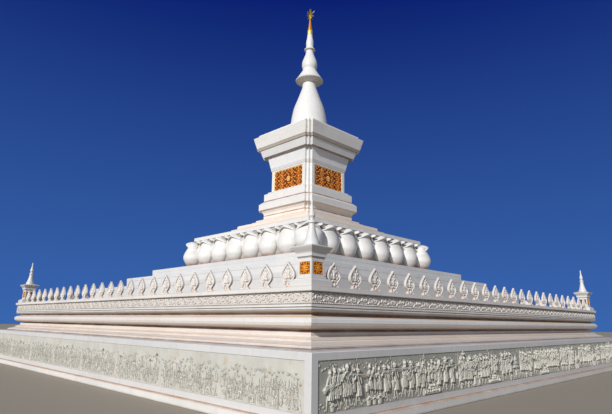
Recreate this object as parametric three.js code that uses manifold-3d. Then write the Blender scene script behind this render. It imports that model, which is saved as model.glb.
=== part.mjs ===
// A white marble stupa on a square terrace, built up in courses from the ground:
// low step, plinth with four relief panels, stepped base, ridge moulding, cornice,
// carved frieze, parapet of leaf merlons with a small stupa at each corner, three
// plain tiers, a ring of lotus petals, and a tower that carries the bell, the spire
// and a gilded finial. Millimetres, +Z up, origin at the middle of the ground face.
// The front is -Y, the right side is +X.
import * as THREE from 'three';
import { mergeVertices } from 'three/addons/utils/BufferGeometryUtils.js';
import Module from 'manifold-3d';

const wasm = await Module();
wasm.setup();

// Driving dimensions. A "half" is half the width of a square course.
const GAP = 0.3;
const STEP_HALF = 8660;
const STEP_TOP = 155;
const PLINTH_HALF = 8577;
const PLINTH_EDGE_TOP = 1160;
const LEDGE_INNER_HALF = 8290;
const PLINTH_TOP = 1187;
const PANEL_HALF_LENGTH = 8425;
const PANEL_BOTTOM = 275;
const PANEL_TOP = 1035;
const PANEL_POCKET_DEPTH = 60;
const PANEL_THICKNESS = 40;
const STEPPED_BASE_TOP = 1440;
const WAIST_TOP = 1760;
const CORNICE_TOP = 1903;
const FRIEZE_HALF = 8108;
const FRIEZE_TOP = 2110;
const COPING_HALF = 8160;
const COPING_INNER_HALF = 7840;
const TERRACE_TOP = 2200;
const MERLON_COUNT = 25;
const MERLON_PITCH = 616;
const MERLON_HEIGHT = 455;
const MERLON_THICKNESS = 48;
const MERLON_FACE_HALF = 7990;
const CORNER_STUPA_AT = 7847;
const CORNER_PLINTH_TOP = 2346;
const CORNER_SHRINE_HALF = 165;
const CORNER_SHRINE_TOP = 2696;
const TIERS = [
  { name: 'tier_1', half: 6007, top: 2786 },
  { name: 'tier_2', half: 5119, top: 3213 },
  { name: 'tier_3', half: 4410, top: 3557 },
];
const TIER_BAND_HEIGHT = 120;
const TIER_BAND_PROUD = 6;
const LOTUS_CORE_HALF = 3250;
const LOTUS_TOP = 4750;
const PETALS_PER_SIDE = 6;
const PETAL_PITCH = 940;
const PETAL_DEPTH_SCALE = 0.75;
const SLAB_HALF = 3281;
const SLAB_TOP = 4890;
const ROOF_STEPS_TOP = 5650;
const REDENT = 100;
const TOWER_FOOT_TOP = 6045;
const TOWER_BASE_TOP = 6835;
const SHAFT_HALF = 1173;
const SHAFT_TOP = 7735;
const GOLD_HALF_WIDTH = 832;
const GOLD_BOTTOM = 6850;
const GOLD_TOP = 7702;
const GOLD_POCKET_DEPTH = 60;
const GOLD_THICKNESS = 25;
const TOWER_NECK_TOP = 8640;
const TOWER_CAP_TOP = 9438;
const BELL_TOP = 11880;
const SPIRE_TOP = 14330;
const CONE_TOP = 15150;
const STAR_CENTRE = 15360;
const STAR_RADIUS = 300;
const STAR_INNER_RADIUS = 150;
const STAR_POINTS = 8;
const STAR_THICKNESS = 70;
const FINIAL_TOP = 15745;

const white = { color: 0xe8e6e2, roughness: 0.55, metalness: 0 };
const cream = { color: 0xe6ddd0, roughness: 0.6, metalness: 0 };
const relief = { color: 0xc6c8be, roughness: 0.7, metalness: 0 };
const gold = { color: 0xd08a1e, roughness: 0.4, metalness: 0.8 };

const stupa = new THREE.Group();
stupa.name = 'stupa';

// Adds one named piece with its own material.
function addPiece(name, geometry, look) {
  const material = new THREE.MeshStandardMaterial(look);
  const mesh = new THREE.Mesh(geometry, material);
  mesh.name = name;
  stupa.add(mesh);
  return mesh;
}

// Turns a closed three.js geometry into a solid that can be joined and cut.
function toSolid(geometry) {
  const bare = geometry.clone();
  bare.deleteAttribute('normal');
  bare.deleteAttribute('uv');
  const merged = mergeVertices(bare, 0.001);
  const triVerts = new Uint32Array(merged.index.array);
  const vertProperties = new Float32Array(merged.attributes.position.array);
  return new wasm.Manifold(new wasm.Mesh({ numProp: 3, vertProperties, triVerts }));
}

// Turns a solid back into a three.js geometry.
function toGeometry(solid) {
  const mesh = solid.getMesh();
  const geometry = new THREE.BufferGeometry();
  geometry.setAttribute('position', new THREE.BufferAttribute(mesh.vertProperties, 3));
  geometry.setIndex(new THREE.BufferAttribute(mesh.triVerts, 1));
  geometry.computeVertexNormals();
  return geometry;
}

// The plan of a square course, or one with its corners stepped back twice.
function squarePlan(half, redent = 0) {
  if (redent === 0) {
    return [[half, -half], [half, half], [-half, half], [-half, -half]];
  }
  const corner = [
    [half, half - 2 * redent],
    [half - redent, half - 2 * redent],
    [half - redent, half - redent],
    [half - 2 * redent, half - redent],
    [half - 2 * redent, half],
  ];
  const plan = [];
  for (let turn = 0; turn < 4; turn += 1) {
    for (const [x, y] of corner) {
      const c = [1, 0, -1, 0][turn];
      const s = [0, 1, 0, -1][turn];
      plan.push([c * x - s * y, s * x + c * y]);
    }
  }
  return plan;
}

// A moulded course: the same plan at each [half, z] of the profile, closed top and bottom.
function course(profile, redent = 0) {
  const rings = profile.map(([half]) => squarePlan(half, redent));
  const count = rings[0].length;
  const positions = [];
  rings.forEach((ring, level) => {
    ring.forEach(([x, y]) => positions.push(x, y, profile[level][1]));
  });
  const index = [];
  for (let level = 0; level < rings.length - 1; level += 1) {
    for (let i = 0; i < count; i += 1) {
      const a = level * count + i;
      const b = level * count + ((i + 1) % count);
      index.push(a, b, b + count, a, b + count, a + count);
    }
  }
  const flat = (ring) => ring.map(([x, y]) => new THREE.Vector2(x, y));
  const bottom = THREE.ShapeUtils.triangulateShape(flat(rings[0]), []);
  bottom.forEach(([a, b, c]) => index.push(c, b, a));
  const base = (rings.length - 1) * count;
  const top = THREE.ShapeUtils.triangulateShape(flat(rings[rings.length - 1]), []);
  top.forEach(([a, b, c]) => index.push(base + a, base + b, base + c));
  const geometry = new THREE.BufferGeometry();
  geometry.setAttribute('position', new THREE.Float32BufferAttribute(positions, 3));
  geometry.setIndex(index);
  geometry.computeVertexNormals();
  return geometry;
}

// A piece turned about the vertical axis from [radius, z] points.
function turned(profile, segments) {
  const points = profile.map(([radius, z]) => new THREE.Vector2(radius, z));
  const geometry = new THREE.LatheGeometry(points, segments);
  geometry.rotateX(Math.PI / 2);
  return geometry;
}

function box(x0, x1, y0, y1, z0, z1) {
  const geometry = new THREE.BoxGeometry(x1 - x0, y1 - y0, z1 - z0);
  geometry.translate((x0 + x1) / 2, (y0 + y1) / 2, (z0 + z1) / 2);
  return geometry;
}

const SIDES = [
  { name: 'front', turn: 0 },
  { name: 'right', turn: Math.PI / 2 },
  { name: 'back', turn: Math.PI },
  { name: 'left', turn: -Math.PI / 2 },
];

// Low step and plinth, with a shallow pocket for the relief on each side.
function addPlinth() {
  addPiece('lower_step', course([[STEP_HALF, 0], [STEP_HALF, STEP_TOP]]), white);
  let plinth = toSolid(course([
    [PLINTH_HALF, STEP_TOP + GAP],
    [PLINTH_HALF, PLINTH_EDGE_TOP],
    [LEDGE_INNER_HALF, PLINTH_TOP],
  ]));
  const pocketBack = PLINTH_HALF - PANEL_POCKET_DEPTH;
  for (const side of SIDES) {
    const pocket = box(
      -PANEL_HALF_LENGTH, PANEL_HALF_LENGTH,
      -PLINTH_HALF - 10, -pocketBack,
      PANEL_BOTTOM, PANEL_TOP,
    );
    pocket.rotateZ(side.turn);
    plinth = plinth.subtract(toSolid(pocket));
    const panel = box(
      -PANEL_HALF_LENGTH + GAP, PANEL_HALF_LENGTH - GAP,
      -pocketBack - GAP - PANEL_THICKNESS, -pocketBack - GAP,
      PANEL_BOTTOM + GAP, PANEL_TOP - GAP,
    );
    panel.rotateZ(side.turn);
    addPiece(`relief_panel_${side.name}`, panel, relief);
  }
  addPiece('plinth', toGeometry(plinth), white);
}

// The mouldings between the plinth's ledge and the terrace.
function addTerraceMouldings() {
  addPiece('stepped_base', course([
    [LEDGE_INNER_HALF, PLINTH_TOP + GAP],
    [LEDGE_INNER_HALF, 1232],
    [8090, 1290],
    [8090, 1322],
    [7960, 1372],
    [7960, STEPPED_BASE_TOP],
  ]), cream);
  addPiece('waist_moulding', course([
    [7890, STEPPED_BASE_TOP + GAP],
    [7890, 1495],
    [8000, 1495],
    [8085, 1513],
    [8132, 1547],
    [8152, 1602],
    [8132, 1660],
    [8085, 1695],
    [8015, 1711],
    [7980, 1711],
    [7980, WAIST_TOP],
  ]), cream);
  addPiece('cornice', course([
    [8035, WAIST_TOP + GAP],
    [8070, 1770],
    [8110, 1790],
    [8130, 1814],
    [8104, 1814],
    [8104, 1846],
    [8085, 1846],
    [8085, 1858],
    [8115, 1858],
    [8115, CORNICE_TOP],
  ]), white);
  addPiece('frieze_band', course([
    [FRIEZE_HALF, CORNICE_TOP + GAP],
    [FRIEZE_HALF, FRIEZE_TOP],
  ]), white);
  addPiece('terrace_floor', course([
    [COPING_INNER_HALF - GAP, FRIEZE_TOP + GAP],
    [COPING_INNER_HALF - GAP, TERRACE_TOP],
  ]), cream);
}

// One merlon's outline: flared foot, narrow waist, swelling leaf and pointed tip.
function merlonShape() {
  const shape = new THREE.Shape();
  const sink = 10;
  const side = (sign, forward) => {
    const points = [
      [128, -sink], [128, 25], [82, 72], [150, 140], [176, 215], [120, 335], [0, MERLON_HEIGHT],
    ];
    const list = forward ? points : points.slice(0, -1).reverse();
    return list.map(([x, z]) => [sign * x, z]);
  };
  const outline = [...side(1, true), ...side(-1, false)];
  shape.moveTo(...outline[0]);
  outline.slice(1).forEach((point) => shape.lineTo(...point));
  return shape;
}

// Four mitred coping strips, each with its row of merlons.
function addParapet() {
  for (const side of SIDES) {
    const outer = COPING_HALF;
    const inner = COPING_INNER_HALF;
    const strip = new THREE.Shape();
    strip.moveTo(-outer + GAP, -outer);
    strip.lineTo(outer - GAP, -outer);
    strip.lineTo(inner - GAP, -inner);
    strip.lineTo(-inner + GAP, -inner);
    const height = TERRACE_TOP - FRIEZE_TOP - GAP;
    const coping = new THREE.ExtrudeGeometry(strip, { depth: height, bevelEnabled: false });
    coping.translate(0, 0, FRIEZE_TOP + GAP);
    let row = toSolid(coping);
    for (let i = 0; i < MERLON_COUNT; i += 1) {
      const merlon = new THREE.ExtrudeGeometry(merlonShape(), {
        depth: MERLON_THICKNESS,
        bevelEnabled: false,
      });
      merlon.rotateX(Math.PI / 2);
      const x = (i - (MERLON_COUNT - 1) / 2) * MERLON_PITCH;
      merlon.translate(x, -MERLON_FACE_HALF + MERLON_THICKNESS, TERRACE_TOP);
      row = row.add(toSolid(merlon));
    }
    const geometry = toGeometry(row);
    geometry.rotateZ(side.turn);
    addPiece(`parapet_${side.name}`, geometry, white);
  }
}

// A small stupa on each terrace corner: stepped foot, gilded shrine box, flared cap and bell.
function addCornerStupas() {
  const corners = [
    { name: 'front_left', x: -1, y: -1 },
    { name: 'front_right', x: 1, y: -1 },
    { name: 'back_right', x: 1, y: 1 },
    { name: 'back_left', x: -1, y: 1 },
  ];
  const foot = course([
    [257, TERRACE_TOP + GAP],
    [257, 2312],
    [222, 2318],
    [222, 2334],
    [186, 2340],
    [186, CORNER_PLINTH_TOP],
  ]);
  const shrine = course([
    [CORNER_SHRINE_HALF, CORNER_PLINTH_TOP + GAP],
    [CORNER_SHRINE_HALF, CORNER_SHRINE_TOP],
  ]);
  const cap = toSolid(course([
    [172, CORNER_SHRINE_TOP + GAP],
    [172, 2716],
    [192, 2722],
    [192, 2768],
    [198, 2790],
    [240, 2838],
    [275, 2888],
    [275, 2900],
    [205, 2915],
    [150, 2940],
  ]));
  const bell = toSolid(turned([
    [0, 2925], [146, 2925], [140, 2985], [116, 3040], [86, 3150], [62, 3280], [58, 3325],
    [78, 3345], [76, 3362], [42, 3400], [44, 3440], [62, 3480], [52, 3530], [24, 3640],
    [20, 3705], [28, 3735], [16, 3765], [0, 3820],
  ], 16));
  const spire = toGeometry(cap.add(bell));
  for (const corner of corners) {
    const x = corner.x * CORNER_STUPA_AT;
    const y = corner.y * CORNER_STUPA_AT;
    addPiece(`corner_${corner.name}_foot`, foot.clone(), white).position.set(x, y, 0);
    addPiece(`corner_${corner.name}_shrine`, shrine.clone(), white).position.set(x, y, 0);
    addPiece(`corner_${corner.name}_spire`, spire.clone(), white).position.set(x, y, 0);
  }
}

// Three plain tiers, each with a slightly proud band along its top.
function addTiers() {
  let bottom = TERRACE_TOP;
  for (const tier of TIERS) {
    const wall = tier.half - TIER_BAND_PROUD;
    addPiece(tier.name, course([
      [wall, bottom + GAP],
      [wall, tier.top - TIER_BAND_HEIGHT],
      [tier.half, tier.top - TIER_BAND_HEIGHT],
      [tier.half, tier.top],
    ]), white);
    bottom = tier.top;
  }
}

// One petal as a turned bud: swelling body, narrow throat and a flared lip.
function petalBud() {
  const bottom = TIERS[2].top + GAP;
  return turned([
    [0, bottom], [180, bottom], [360, 3780], [432, 4010], [400, 4210], [275, 4460], [290, 4530],
    [368, 4600], [368, 4625], [260, 4695], [60, LOTUS_TOP], [0, LOTUS_TOP],
  ], 12);
}

// The square ring of lotus petals round its core.
function addLotus() {
  let lotus = toSolid(course([
    [LOTUS_CORE_HALF, TIERS[2].top + GAP],
    [LOTUS_CORE_HALF, LOTUS_TOP],
  ]));
  for (const side of SIDES) {
    for (let i = 0; i < PETALS_PER_SIDE; i += 1) {
      const petal = petalBud();
      petal.scale(1, PETAL_DEPTH_SCALE, 1);
      const x = (i - (PETALS_PER_SIDE - 1) / 2) * PETAL_PITCH;
      petal.translate(x, -LOTUS_CORE_HALF, 0);
      petal.rotateZ(side.turn);
      lotus = lotus.add(toSolid(petal));
    }
    const cornerPetal = petalBud();
    cornerPetal.translate(LOTUS_CORE_HALF, -LOTUS_CORE_HALF, 0);
    cornerPetal.rotateZ(side.turn);
    lotus = lotus.add(toSolid(cornerPetal));
  }
  addPiece('lotus_ring', toGeometry(lotus), white);
}

// The slab on the petals and the low steps up to the tower.
function addPlatform() {
  addPiece('platform_slab', course([
    [SLAB_HALF, LOTUS_TOP + GAP],
    [SLAB_HALF, SLAB_TOP],
  ]), white);
  addPiece('platform_steps', course([
    [2225, SLAB_TOP + GAP],
    [2225, 5245],
    [2060, 5275],
    [2040, 5410],
    [1640, 5450],
    [1620, 5560],
    [1520, 5575],
    [1510, ROOF_STEPS_TOP],
  ]), cream);
}

// The tower: every course has its corners stepped back twice.
function addTower() {
  addPiece('tower_foot', course([
    [1385, ROOF_STEPS_TOP + GAP],
    [1385, 5866],
    [1400, 5930],
    [1452, 6010],
    [1525, TOWER_FOOT_TOP],
  ], REDENT), white);
  addPiece('tower_base', course([
    [1536, TOWER_FOOT_TOP + GAP],
    [1536, 6299],
    [1405, 6415],
    [1391, 6430],
    [1391, 6736],
    [1290, 6786],
    [1280, 6830],
    [1226, TOWER_BASE_TOP],
  ], REDENT), white);
  let shaft = toSolid(course([
    [SHAFT_HALF, TOWER_BASE_TOP + GAP],
    [SHAFT_HALF, SHAFT_TOP + 20],
  ], REDENT));
  const pocketBack = SHAFT_HALF - GOLD_POCKET_DEPTH;
  for (const side of SIDES) {
    const pocket = box(
      -GOLD_HALF_WIDTH, GOLD_HALF_WIDTH,
      -SHAFT_HALF - 10, -pocketBack,
      GOLD_BOTTOM, GOLD_TOP,
    );
    pocket.rotateZ(side.turn);
    shaft = shaft.subtract(toSolid(pocket));
    const panel = box(
      -GOLD_HALF_WIDTH + GAP, GOLD_HALF_WIDTH - GAP,
      -pocketBack - GAP - GOLD_THICKNESS, -pocketBack - GAP,
      GOLD_BOTTOM + GAP, GOLD_TOP - GAP,
    );
    panel.rotateZ(side.turn);
    addPiece(`gold_panel_${side.name}`, panel, gold);
  }
  addPiece('tower_shaft', toGeometry(shaft), white);
  addPiece('tower_neck', course([
    [SHAFT_HALF + 5, SHAFT_TOP + 20 + GAP],
    [1222, 7880],
    [1240, 7984],
    [1280, 8186],
    [1312, 8335],
    [1450, 8350],
    [1452, 8362],
    [1544, 8634],
    [1544, TOWER_NECK_TOP],
  ], REDENT), white);
  addPiece('tower_cap', course([
    [1560, TOWER_NECK_TOP + GAP],
    [1640, 8735],
    [1650, 8750],
    [1763, 9204],
    [1606, 9230],
    [1606, 9346],
    [1442, 9356],
    [1442, TOWER_CAP_TOP],
  ], REDENT), white);
}

// The bell, the ringed spire and the gilded finial, all turned on the tower's axis.
function addSpire() {
  const roundSides = 32;
  addPiece('bell', turned([
    [0, TOWER_CAP_TOP + GAP], [850, TOWER_CAP_TOP + GAP], [850, 9530], [822, 9570],
    [804, 9850], [775, 10070], [751, 10260], [715, 10450], [677, 10640], [615, 10830],
    [541, 11020], [475, 11210], [408, 11400], [345, 11580], [312, 11700], [302, BELL_TOP],
    [0, BELL_TOP],
  ], roundSides), white);
  addPiece('spire', turned([
    [0, BELL_TOP + GAP], [305, BELL_TOP + GAP], [400, 11930], [585, 12000], [612, 12040],
    [575, 12090], [460, 12270], [345, 12460], [297, 12550], [330, 12700], [341, 12800],
    [322, 12980], [255, 13170], [184, 13370], [166, 13490], [240, 13550], [252, 13575],
    [176, 13660], [166, 13750], [172, 13950], [126, 14200], [116, SPIRE_TOP], [0, SPIRE_TOP],
  ], 24), white);
  const cone = toSolid(turned([
    [0, SPIRE_TOP + GAP], [112, SPIRE_TOP + GAP], [104, 14480], [80, 14800], [44, CONE_TOP],
    [40, STAR_CENTRE], [34, 15600], [0, FINIAL_TOP],
  ], 16));
  const star = new THREE.Shape();
  for (let i = 0; i < 2 * STAR_POINTS; i += 1) {
    const radius = i % 2 === 0 ? STAR_RADIUS : STAR_INNER_RADIUS;
    const angle = (Math.PI * i) / STAR_POINTS + Math.PI / 2;
    const point = [radius * Math.cos(angle), radius * Math.sin(angle)];
    if (i === 0) {
      star.moveTo(...point);
    } else {
      star.lineTo(...point);
    }
  }
  const plate = new THREE.ExtrudeGeometry(star, { depth: STAR_THICKNESS, bevelEnabled: false });
  plate.rotateX(Math.PI / 2);
  plate.translate(0, STAR_THICKNESS / 2, STAR_CENTRE);
  addPiece('finial', toGeometry(cone.add(toSolid(plate))), gold);
}

addPlinth();
addTerraceMouldings();
addParapet();
addCornerStupas();
addTiers();
addLotus();
addPlatform();
addTower();
addSpire();

export default stupa;
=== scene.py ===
# A white marble stupa on its terrace, dressed course by course from the ground up.
# Metres, +Z up, front towards -Y, right side towards +X.
import math
import random

import bmesh
import bpy
from mathutils import Matrix, Vector


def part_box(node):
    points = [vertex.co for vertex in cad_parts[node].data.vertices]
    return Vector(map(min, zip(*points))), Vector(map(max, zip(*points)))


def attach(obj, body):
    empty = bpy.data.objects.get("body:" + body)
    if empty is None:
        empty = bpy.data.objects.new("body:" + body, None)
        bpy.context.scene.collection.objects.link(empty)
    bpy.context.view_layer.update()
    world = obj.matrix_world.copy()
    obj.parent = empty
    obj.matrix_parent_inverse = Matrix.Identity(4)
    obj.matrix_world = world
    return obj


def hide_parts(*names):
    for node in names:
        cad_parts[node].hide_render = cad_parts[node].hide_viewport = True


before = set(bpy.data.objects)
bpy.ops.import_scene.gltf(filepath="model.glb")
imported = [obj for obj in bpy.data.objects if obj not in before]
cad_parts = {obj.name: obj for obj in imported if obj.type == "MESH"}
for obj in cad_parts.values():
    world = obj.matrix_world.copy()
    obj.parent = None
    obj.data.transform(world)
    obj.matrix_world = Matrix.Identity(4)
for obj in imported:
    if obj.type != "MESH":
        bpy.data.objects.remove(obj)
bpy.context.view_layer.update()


# Lower step
# The lowest course: sawn white marble slabs that stand a hand's breadth proud of the plinth
# on the paving. Water lies on its tread, so the joint behind it has a rust-coloured line.
def linear(colour):
    """Turns an sRGB hex colour to the linear values that a shader takes."""
    channels = [int(colour[i:i + 2], 16) / 255 for i in (1, 3, 5)]
    return [c / 12.92 if c <= 0.04045 else ((c + 0.055) / 1.055) ** 2.4 for c in channels] + [1.0]


def fill(tree, node, inputs):
    """Links or sets the inputs of a node: a dict, or a row of values in the order of the sockets.
    Text is a hex colour."""
    for socket, value in (inputs.items() if isinstance(inputs, dict) else enumerate(inputs)):
        if isinstance(value, bpy.types.NodeSocket):
            tree.links.new(value, node.inputs[socket])
        else:
            node.inputs[socket].default_value = linear(value) if isinstance(value, str) else value


def add(tree, kind, inputs=(), out=0, **settings):
    """Adds a shader node with its settings and links, and gives one of its outputs."""
    node = tree.nodes.new("ShaderNode" + kind)
    for key, value in settings.items():
        setattr(node, key, value)
    fill(tree, node, inputs)
    return node.outputs[out]


def new_finish(name):
    """Starts a material. Gives it with its tree, its shader and the place of the point shaded, as
    one value and as x, y and z."""
    finish = bpy.data.materials.new(name)
    finish.use_nodes = True
    tree = finish.node_tree
    place = add(tree, "TexCoord", out="Object")
    xyz = add(tree, "SeparateXYZ", [place]).node.outputs
    return finish, tree, tree.nodes["Principled BSDF"], place, xyz


def off_axis(tree, xyz):
    """Gives the distances of a point from the building's axis, along X and along Y."""
    return [add(tree, "Math", [xyz[i]], operation="ABSOLUTE") for i in (0, 1)]


def honed_marble(name, tone, cloud, slab, course=9.0, joint=0.35, roughness=0.42, seams=(),
                 streaks=0.12, underside_shade="#8F8470", recess_dust_and_shade=None):
    """White marble, sawn to slabs and rubbed matt: a broad soft sheen, faint grey clouds, thin
    joints and stains that follow them. Slab is the distance between upright joints and course
    the one between level joints, from the ground up. Seams are (height, half width, colour,
    strength): stains, and some dark lines painted as shadow under overhangs. A recess is (depth
    from the axis, depth of the face, colour, strength): the deeper faces are painted darker, as
    dust and painted shade. The underside shade is the colour painted on faces that look down,
    as painted shade."""
    finish, tree, shader, place, xyz = new_finish(name)
    x, y, z = xyz
    far = off_axis(tree, xyz)
    # A course runs along X on the front and back, and along Y on the two sides.
    side = add(tree, "Math", far, operation="GREATER_THAN")
    along = add(tree, "Mix", {0: side, 2: x, 3: y}, data_type="FLOAT")
    row = add(tree, "Math", [z, course], operation="DIVIDE")
    row_number = add(tree, "Math", [row], operation="FLOOR")
    run = add(tree, "Math", [along, slab], operation="DIVIDE")
    bonded = add(tree, "Math", [row_number, 0.5, run], operation="MULTIPLY_ADD")
    slab_number = add(tree, "Math", [bonded], operation="FLOOR")
    upright = add(tree, "Math", [bonded, 0.5], operation="PINGPONG")
    upright = add(tree, "Math", [upright, slab], operation="MULTIPLY")
    level = add(tree, "Math", [row, 0.5], operation="PINGPONG")
    level = add(tree, "Math", [level, course], operation="MULTIPLY")
    nearest = add(tree, "Math", [upright, level], operation="MINIMUM")
    # The real joints are 3 mm wide. They fade out over 12 mm to each side so that they show.
    line = add(tree, "MapRange", {"Value": nearest, "From Max": 0.012, "To Min": joint, "To Max": 0.0},
               interpolation_type="SMOOTHSTEP")
    # The slabs differ a little in shade, and each has clouds about a metre across.
    slab_key = add(tree, "CombineXYZ", [slab_number, row_number, side])
    odd = add(tree, "TexWhiteNoise", {"Vector": slab_key}, out="Value")
    drift = add(tree, "TexNoise", {"Vector": place, "Scale": 0.9, "Detail": 5.0, "Roughness": 0.6})
    mixed = add(tree, "Math", [odd, 0.35, drift], operation="MULTIPLY_ADD")
    shade = add(tree, "MapRange", {"Value": mixed, "From Min": 0.42, "From Max": 1.0})
    # Grey veins about a metre apart and one or two centimetres wide.
    warp = add(tree, "TexNoise", {"Vector": place, "Scale": 1.1, "Detail": 8.0, "Roughness": 0.65,
                                  "Distortion": 1.2})
    off_vein = add(tree, "Math", [warp, 0.5], operation="SUBTRACT")
    off_vein = add(tree, "Math", [off_vein], operation="ABSOLUTE")
    vein = add(tree, "MapRange", {"Value": off_vein, "From Max": 0.012, "To Min": 0.22, "To Max": 0.0})
    # Rain runs down the faces and leaves streaks about 11 cm wide.
    fall = add(tree, "Mapping", {"Vector": place, "Scale": (9.0, 9.0, 0.5)})
    run_off = add(tree, "TexNoise", {"Vector": fall, "Scale": 1.0, "Detail": 3.0})
    run_off = add(tree, "MapRange", {"Value": run_off, "From Min": 0.56, "From Max": 0.8,
                                     "To Max": streaks})
    layers = [(shade, cloud), (vein, "#B4B5B8"), (line, "#B39C84"), (run_off, "#B8A58F")]
    # The edge of each stain is ragged, over about half a metre.
    ragged = add(tree, "TexNoise", {"Vector": place, "Scale": 2.2, "Detail": 4.0})
    for height, spread, stain, strength in seams:
        off = add(tree, "Math", [z, height], operation="SUBTRACT")
        off = add(tree, "Math", [off], operation="ABSOLUTE")
        mask = add(tree, "MapRange", {"Value": off, "From Max": spread, "To Min": strength * 1.8,
                                      "To Max": 0.0}, interpolation_type="SMOOTHSTEP")
        layers.append((add(tree, "Math", [mask, ragged], operation="MULTIPLY", use_clamp=True), stain))
    # Faces sunk below the face are painted darker: dust, and painted shade in the recess.
    if recess_dust_and_shade:
        low, high, shade_and_dust_colour, strength = recess_dust_and_shade
        out = add(tree, "Math", far, operation="MAXIMUM")
        layers.append((add(tree, "MapRange", {"Value": out, "From Min": low, "From Max": high,
                                              "To Min": strength, "To Max": 0.0}), shade_and_dust_colour))
    # Faces that look down are painted the underside colour: painted shade under overhangs.
    facing = add(tree, "SeparateXYZ", [add(tree, "NewGeometry", out="Normal")], out=2)
    layers.append((add(tree, "MapRange", {"Value": facing, "From Min": -0.2, "From Max": -0.8,
                                          "To Max": 0.65}), underside_shade))
    colour = tone
    for mask, over in layers:
        colour = add(tree, "Mix", {0: mask, 6: colour, 7: over}, out=2, data_type="RGBA")
    gloss = add(tree, "MapRange", {"Value": drift, "To Min": roughness - 0.08, "To Max": roughness + 0.14})
    # Saw and rubbing marks 4 to 17 mm across, with the joints a little open.
    tooth = add(tree, "TexNoise", {"Vector": place, "Scale": 60.0, "Detail": 2.0})
    relief = add(tree, "Math", [line, -3.0, tooth], operation="MULTIPLY_ADD")
    bump = add(tree, "Bump", {"Strength": 0.25, "Distance": 0.002, "Height": relief})
    fill(tree, shader, {"Base Color": colour, "Roughness": gloss, "IOR": 1.5, "Normal": bump})
    return finish


def stored(mesh, name):
    """Writes a bmesh to new mesh data and frees it."""
    data = bpy.data.meshes.new(name)
    mesh.to_mesh(data)
    mesh.free()
    return data


def set_piece(name, mesh, finish, stands_for=(), smooth=38, flat=0.03):
    """Writes a bmesh to a new object, at the origin, that rides on the building. Edges of more than
    smooth degrees are sharp. Faces of more than flat square metres are planes, and are shaded flat
    so that round arrises end cleanly."""
    if flat:
        for face in mesh.faces:
            face.smooth = face.calc_area() < flat
    round_faces = [face.smooth for face in mesh.faces]
    data = stored(mesh, name)
    data.set_sharp_from_angle(angle=math.radians(smooth))
    data.polygons.foreach_set("use_smooth", round_faces)
    data.materials.append(finish)
    piece = bpy.data.objects.new(name, data)
    bpy.context.scene.collection.objects.link(piece)
    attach(piece, "root")
    if stands_for:
        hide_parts(*stands_for)


def soften(mesh, edges, offset, segments=2, clamp=False):
    """Rubs arrises round, and gives the new faces."""
    return bmesh.ops.bevel(mesh, geom=edges, offset=offset, offset_type="OFFSET", affect="EDGES",
                           segments=segments, profile=0.5, material=-1, clamp_overlap=clamp)["faces"]


def lay_course(node, finish, arris):
    """Sets a plain course: the solid's own shape with its arrises rubbed round. An edge is rubbed
    where its faces turn by more than 20 degrees and have room for the round."""
    mesh = bmesh.new()
    mesh.from_mesh(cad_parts[node].data)
    bmesh.ops.remove_doubles(mesh, verts=mesh.verts, dist=0.0001)
    bmesh.ops.dissolve_limit(mesh, angle_limit=math.radians(1), verts=mesh.verts, edges=mesh.edges)
    arrises = []
    for edge in mesh.edges:
        start, end = (vert.co for vert in edge.verts)
        run = (end - start).normalized()
        room = [edge.calc_length()]
        for face in edge.link_faces:
            room.append(max((vert.co - start).cross(run).length for vert in face.verts))
        if edge.calc_face_angle(0) > math.radians(20) and min(room) > 4 * arris:
            arrises.append(edge)
    for face in mesh.faces:
        face.smooth = False
    for face in soften(mesh, arrises, arris, clamp=True):
        face.smooth = True
    set_piece(node + "_stone", mesh, finish, [node], flat=None)


step_marble = honed_marble("sawn_step_marble", "#EAE8E4", "#D9D8D6", 1.6, course=0.5, joint=0.3,
                           streaks=0.2,
                           seams=[(0.16, 0.035, "#C08A5C", 0.8), (0.0, 0.05, "#9A8A78", 0.6)])
lay_course("lower_step", step_marble, arris=0.01)


# Plinth
# Marble slabs on the face, mitred at the corners, round a sunk field for the carving, with
# a washed ledge on top. Dust lies on the ledge, and iron in the bedding stains its joints.
plinth_marble = honed_marble("honed_plinth_marble", "#DDDDDC", "#CFCFCF", 2.4, joint=0.25, streaks=0.15,
                             seams=[(0.285, 0.02, "#A8825E", 0.7), (1.187, 0.022, "#A38C7C", 0.9)])
lay_course("plinth", plinth_marble, arris=0.008)


# Relief panels
# Each side of the plinth holds a long relief in slabs of soft grey stone, with a walk carved about
# 50 mm deep on the right and left sides, and a village about 15 mm deep on the front and back. The
# ground is painted darker than the pale carving, and a dark line round the foot of each form, as painted
# shade.
SLABS = 8
SLAB_GAP = 0.003


def turn(mesh, angle, axis="Z"):
    """Turns a mesh about an axis through the origin."""
    bmesh.ops.rotate(mesh, cent=(0, 0, 0), matrix=Matrix.Rotation(angle, 3, axis), verts=mesh.verts)


def shift(mesh, x, y, z):
    """Moves the whole of a mesh."""
    bmesh.ops.translate(mesh, vec=(x, y, z), verts=mesh.verts)


def join(whole, part):
    """Joins one bmesh to another. Operators run faster on each small part than on the whole."""
    data = stored(part, "part")
    whole.from_mesh(data)
    bpy.data.meshes.remove(data)


def carve(whole, motif, *details):
    """Carves one motif of the relief and joins it to the slab."""
    part = bmesh.new()
    motif(part, *details)
    join(whole, part)


def block(middle, size, arris=0.0):
    """Cuts a square block round its middle, with its arrises rubbed round if a width is given."""
    mesh = bmesh.new()
    bmesh.ops.create_cube(mesh, size=1, matrix=Matrix.Translation(middle) @ Matrix.Diagonal((*size, 1)))
    if arris:
        soften(mesh, mesh.edges, arris)
    return mesh


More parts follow.
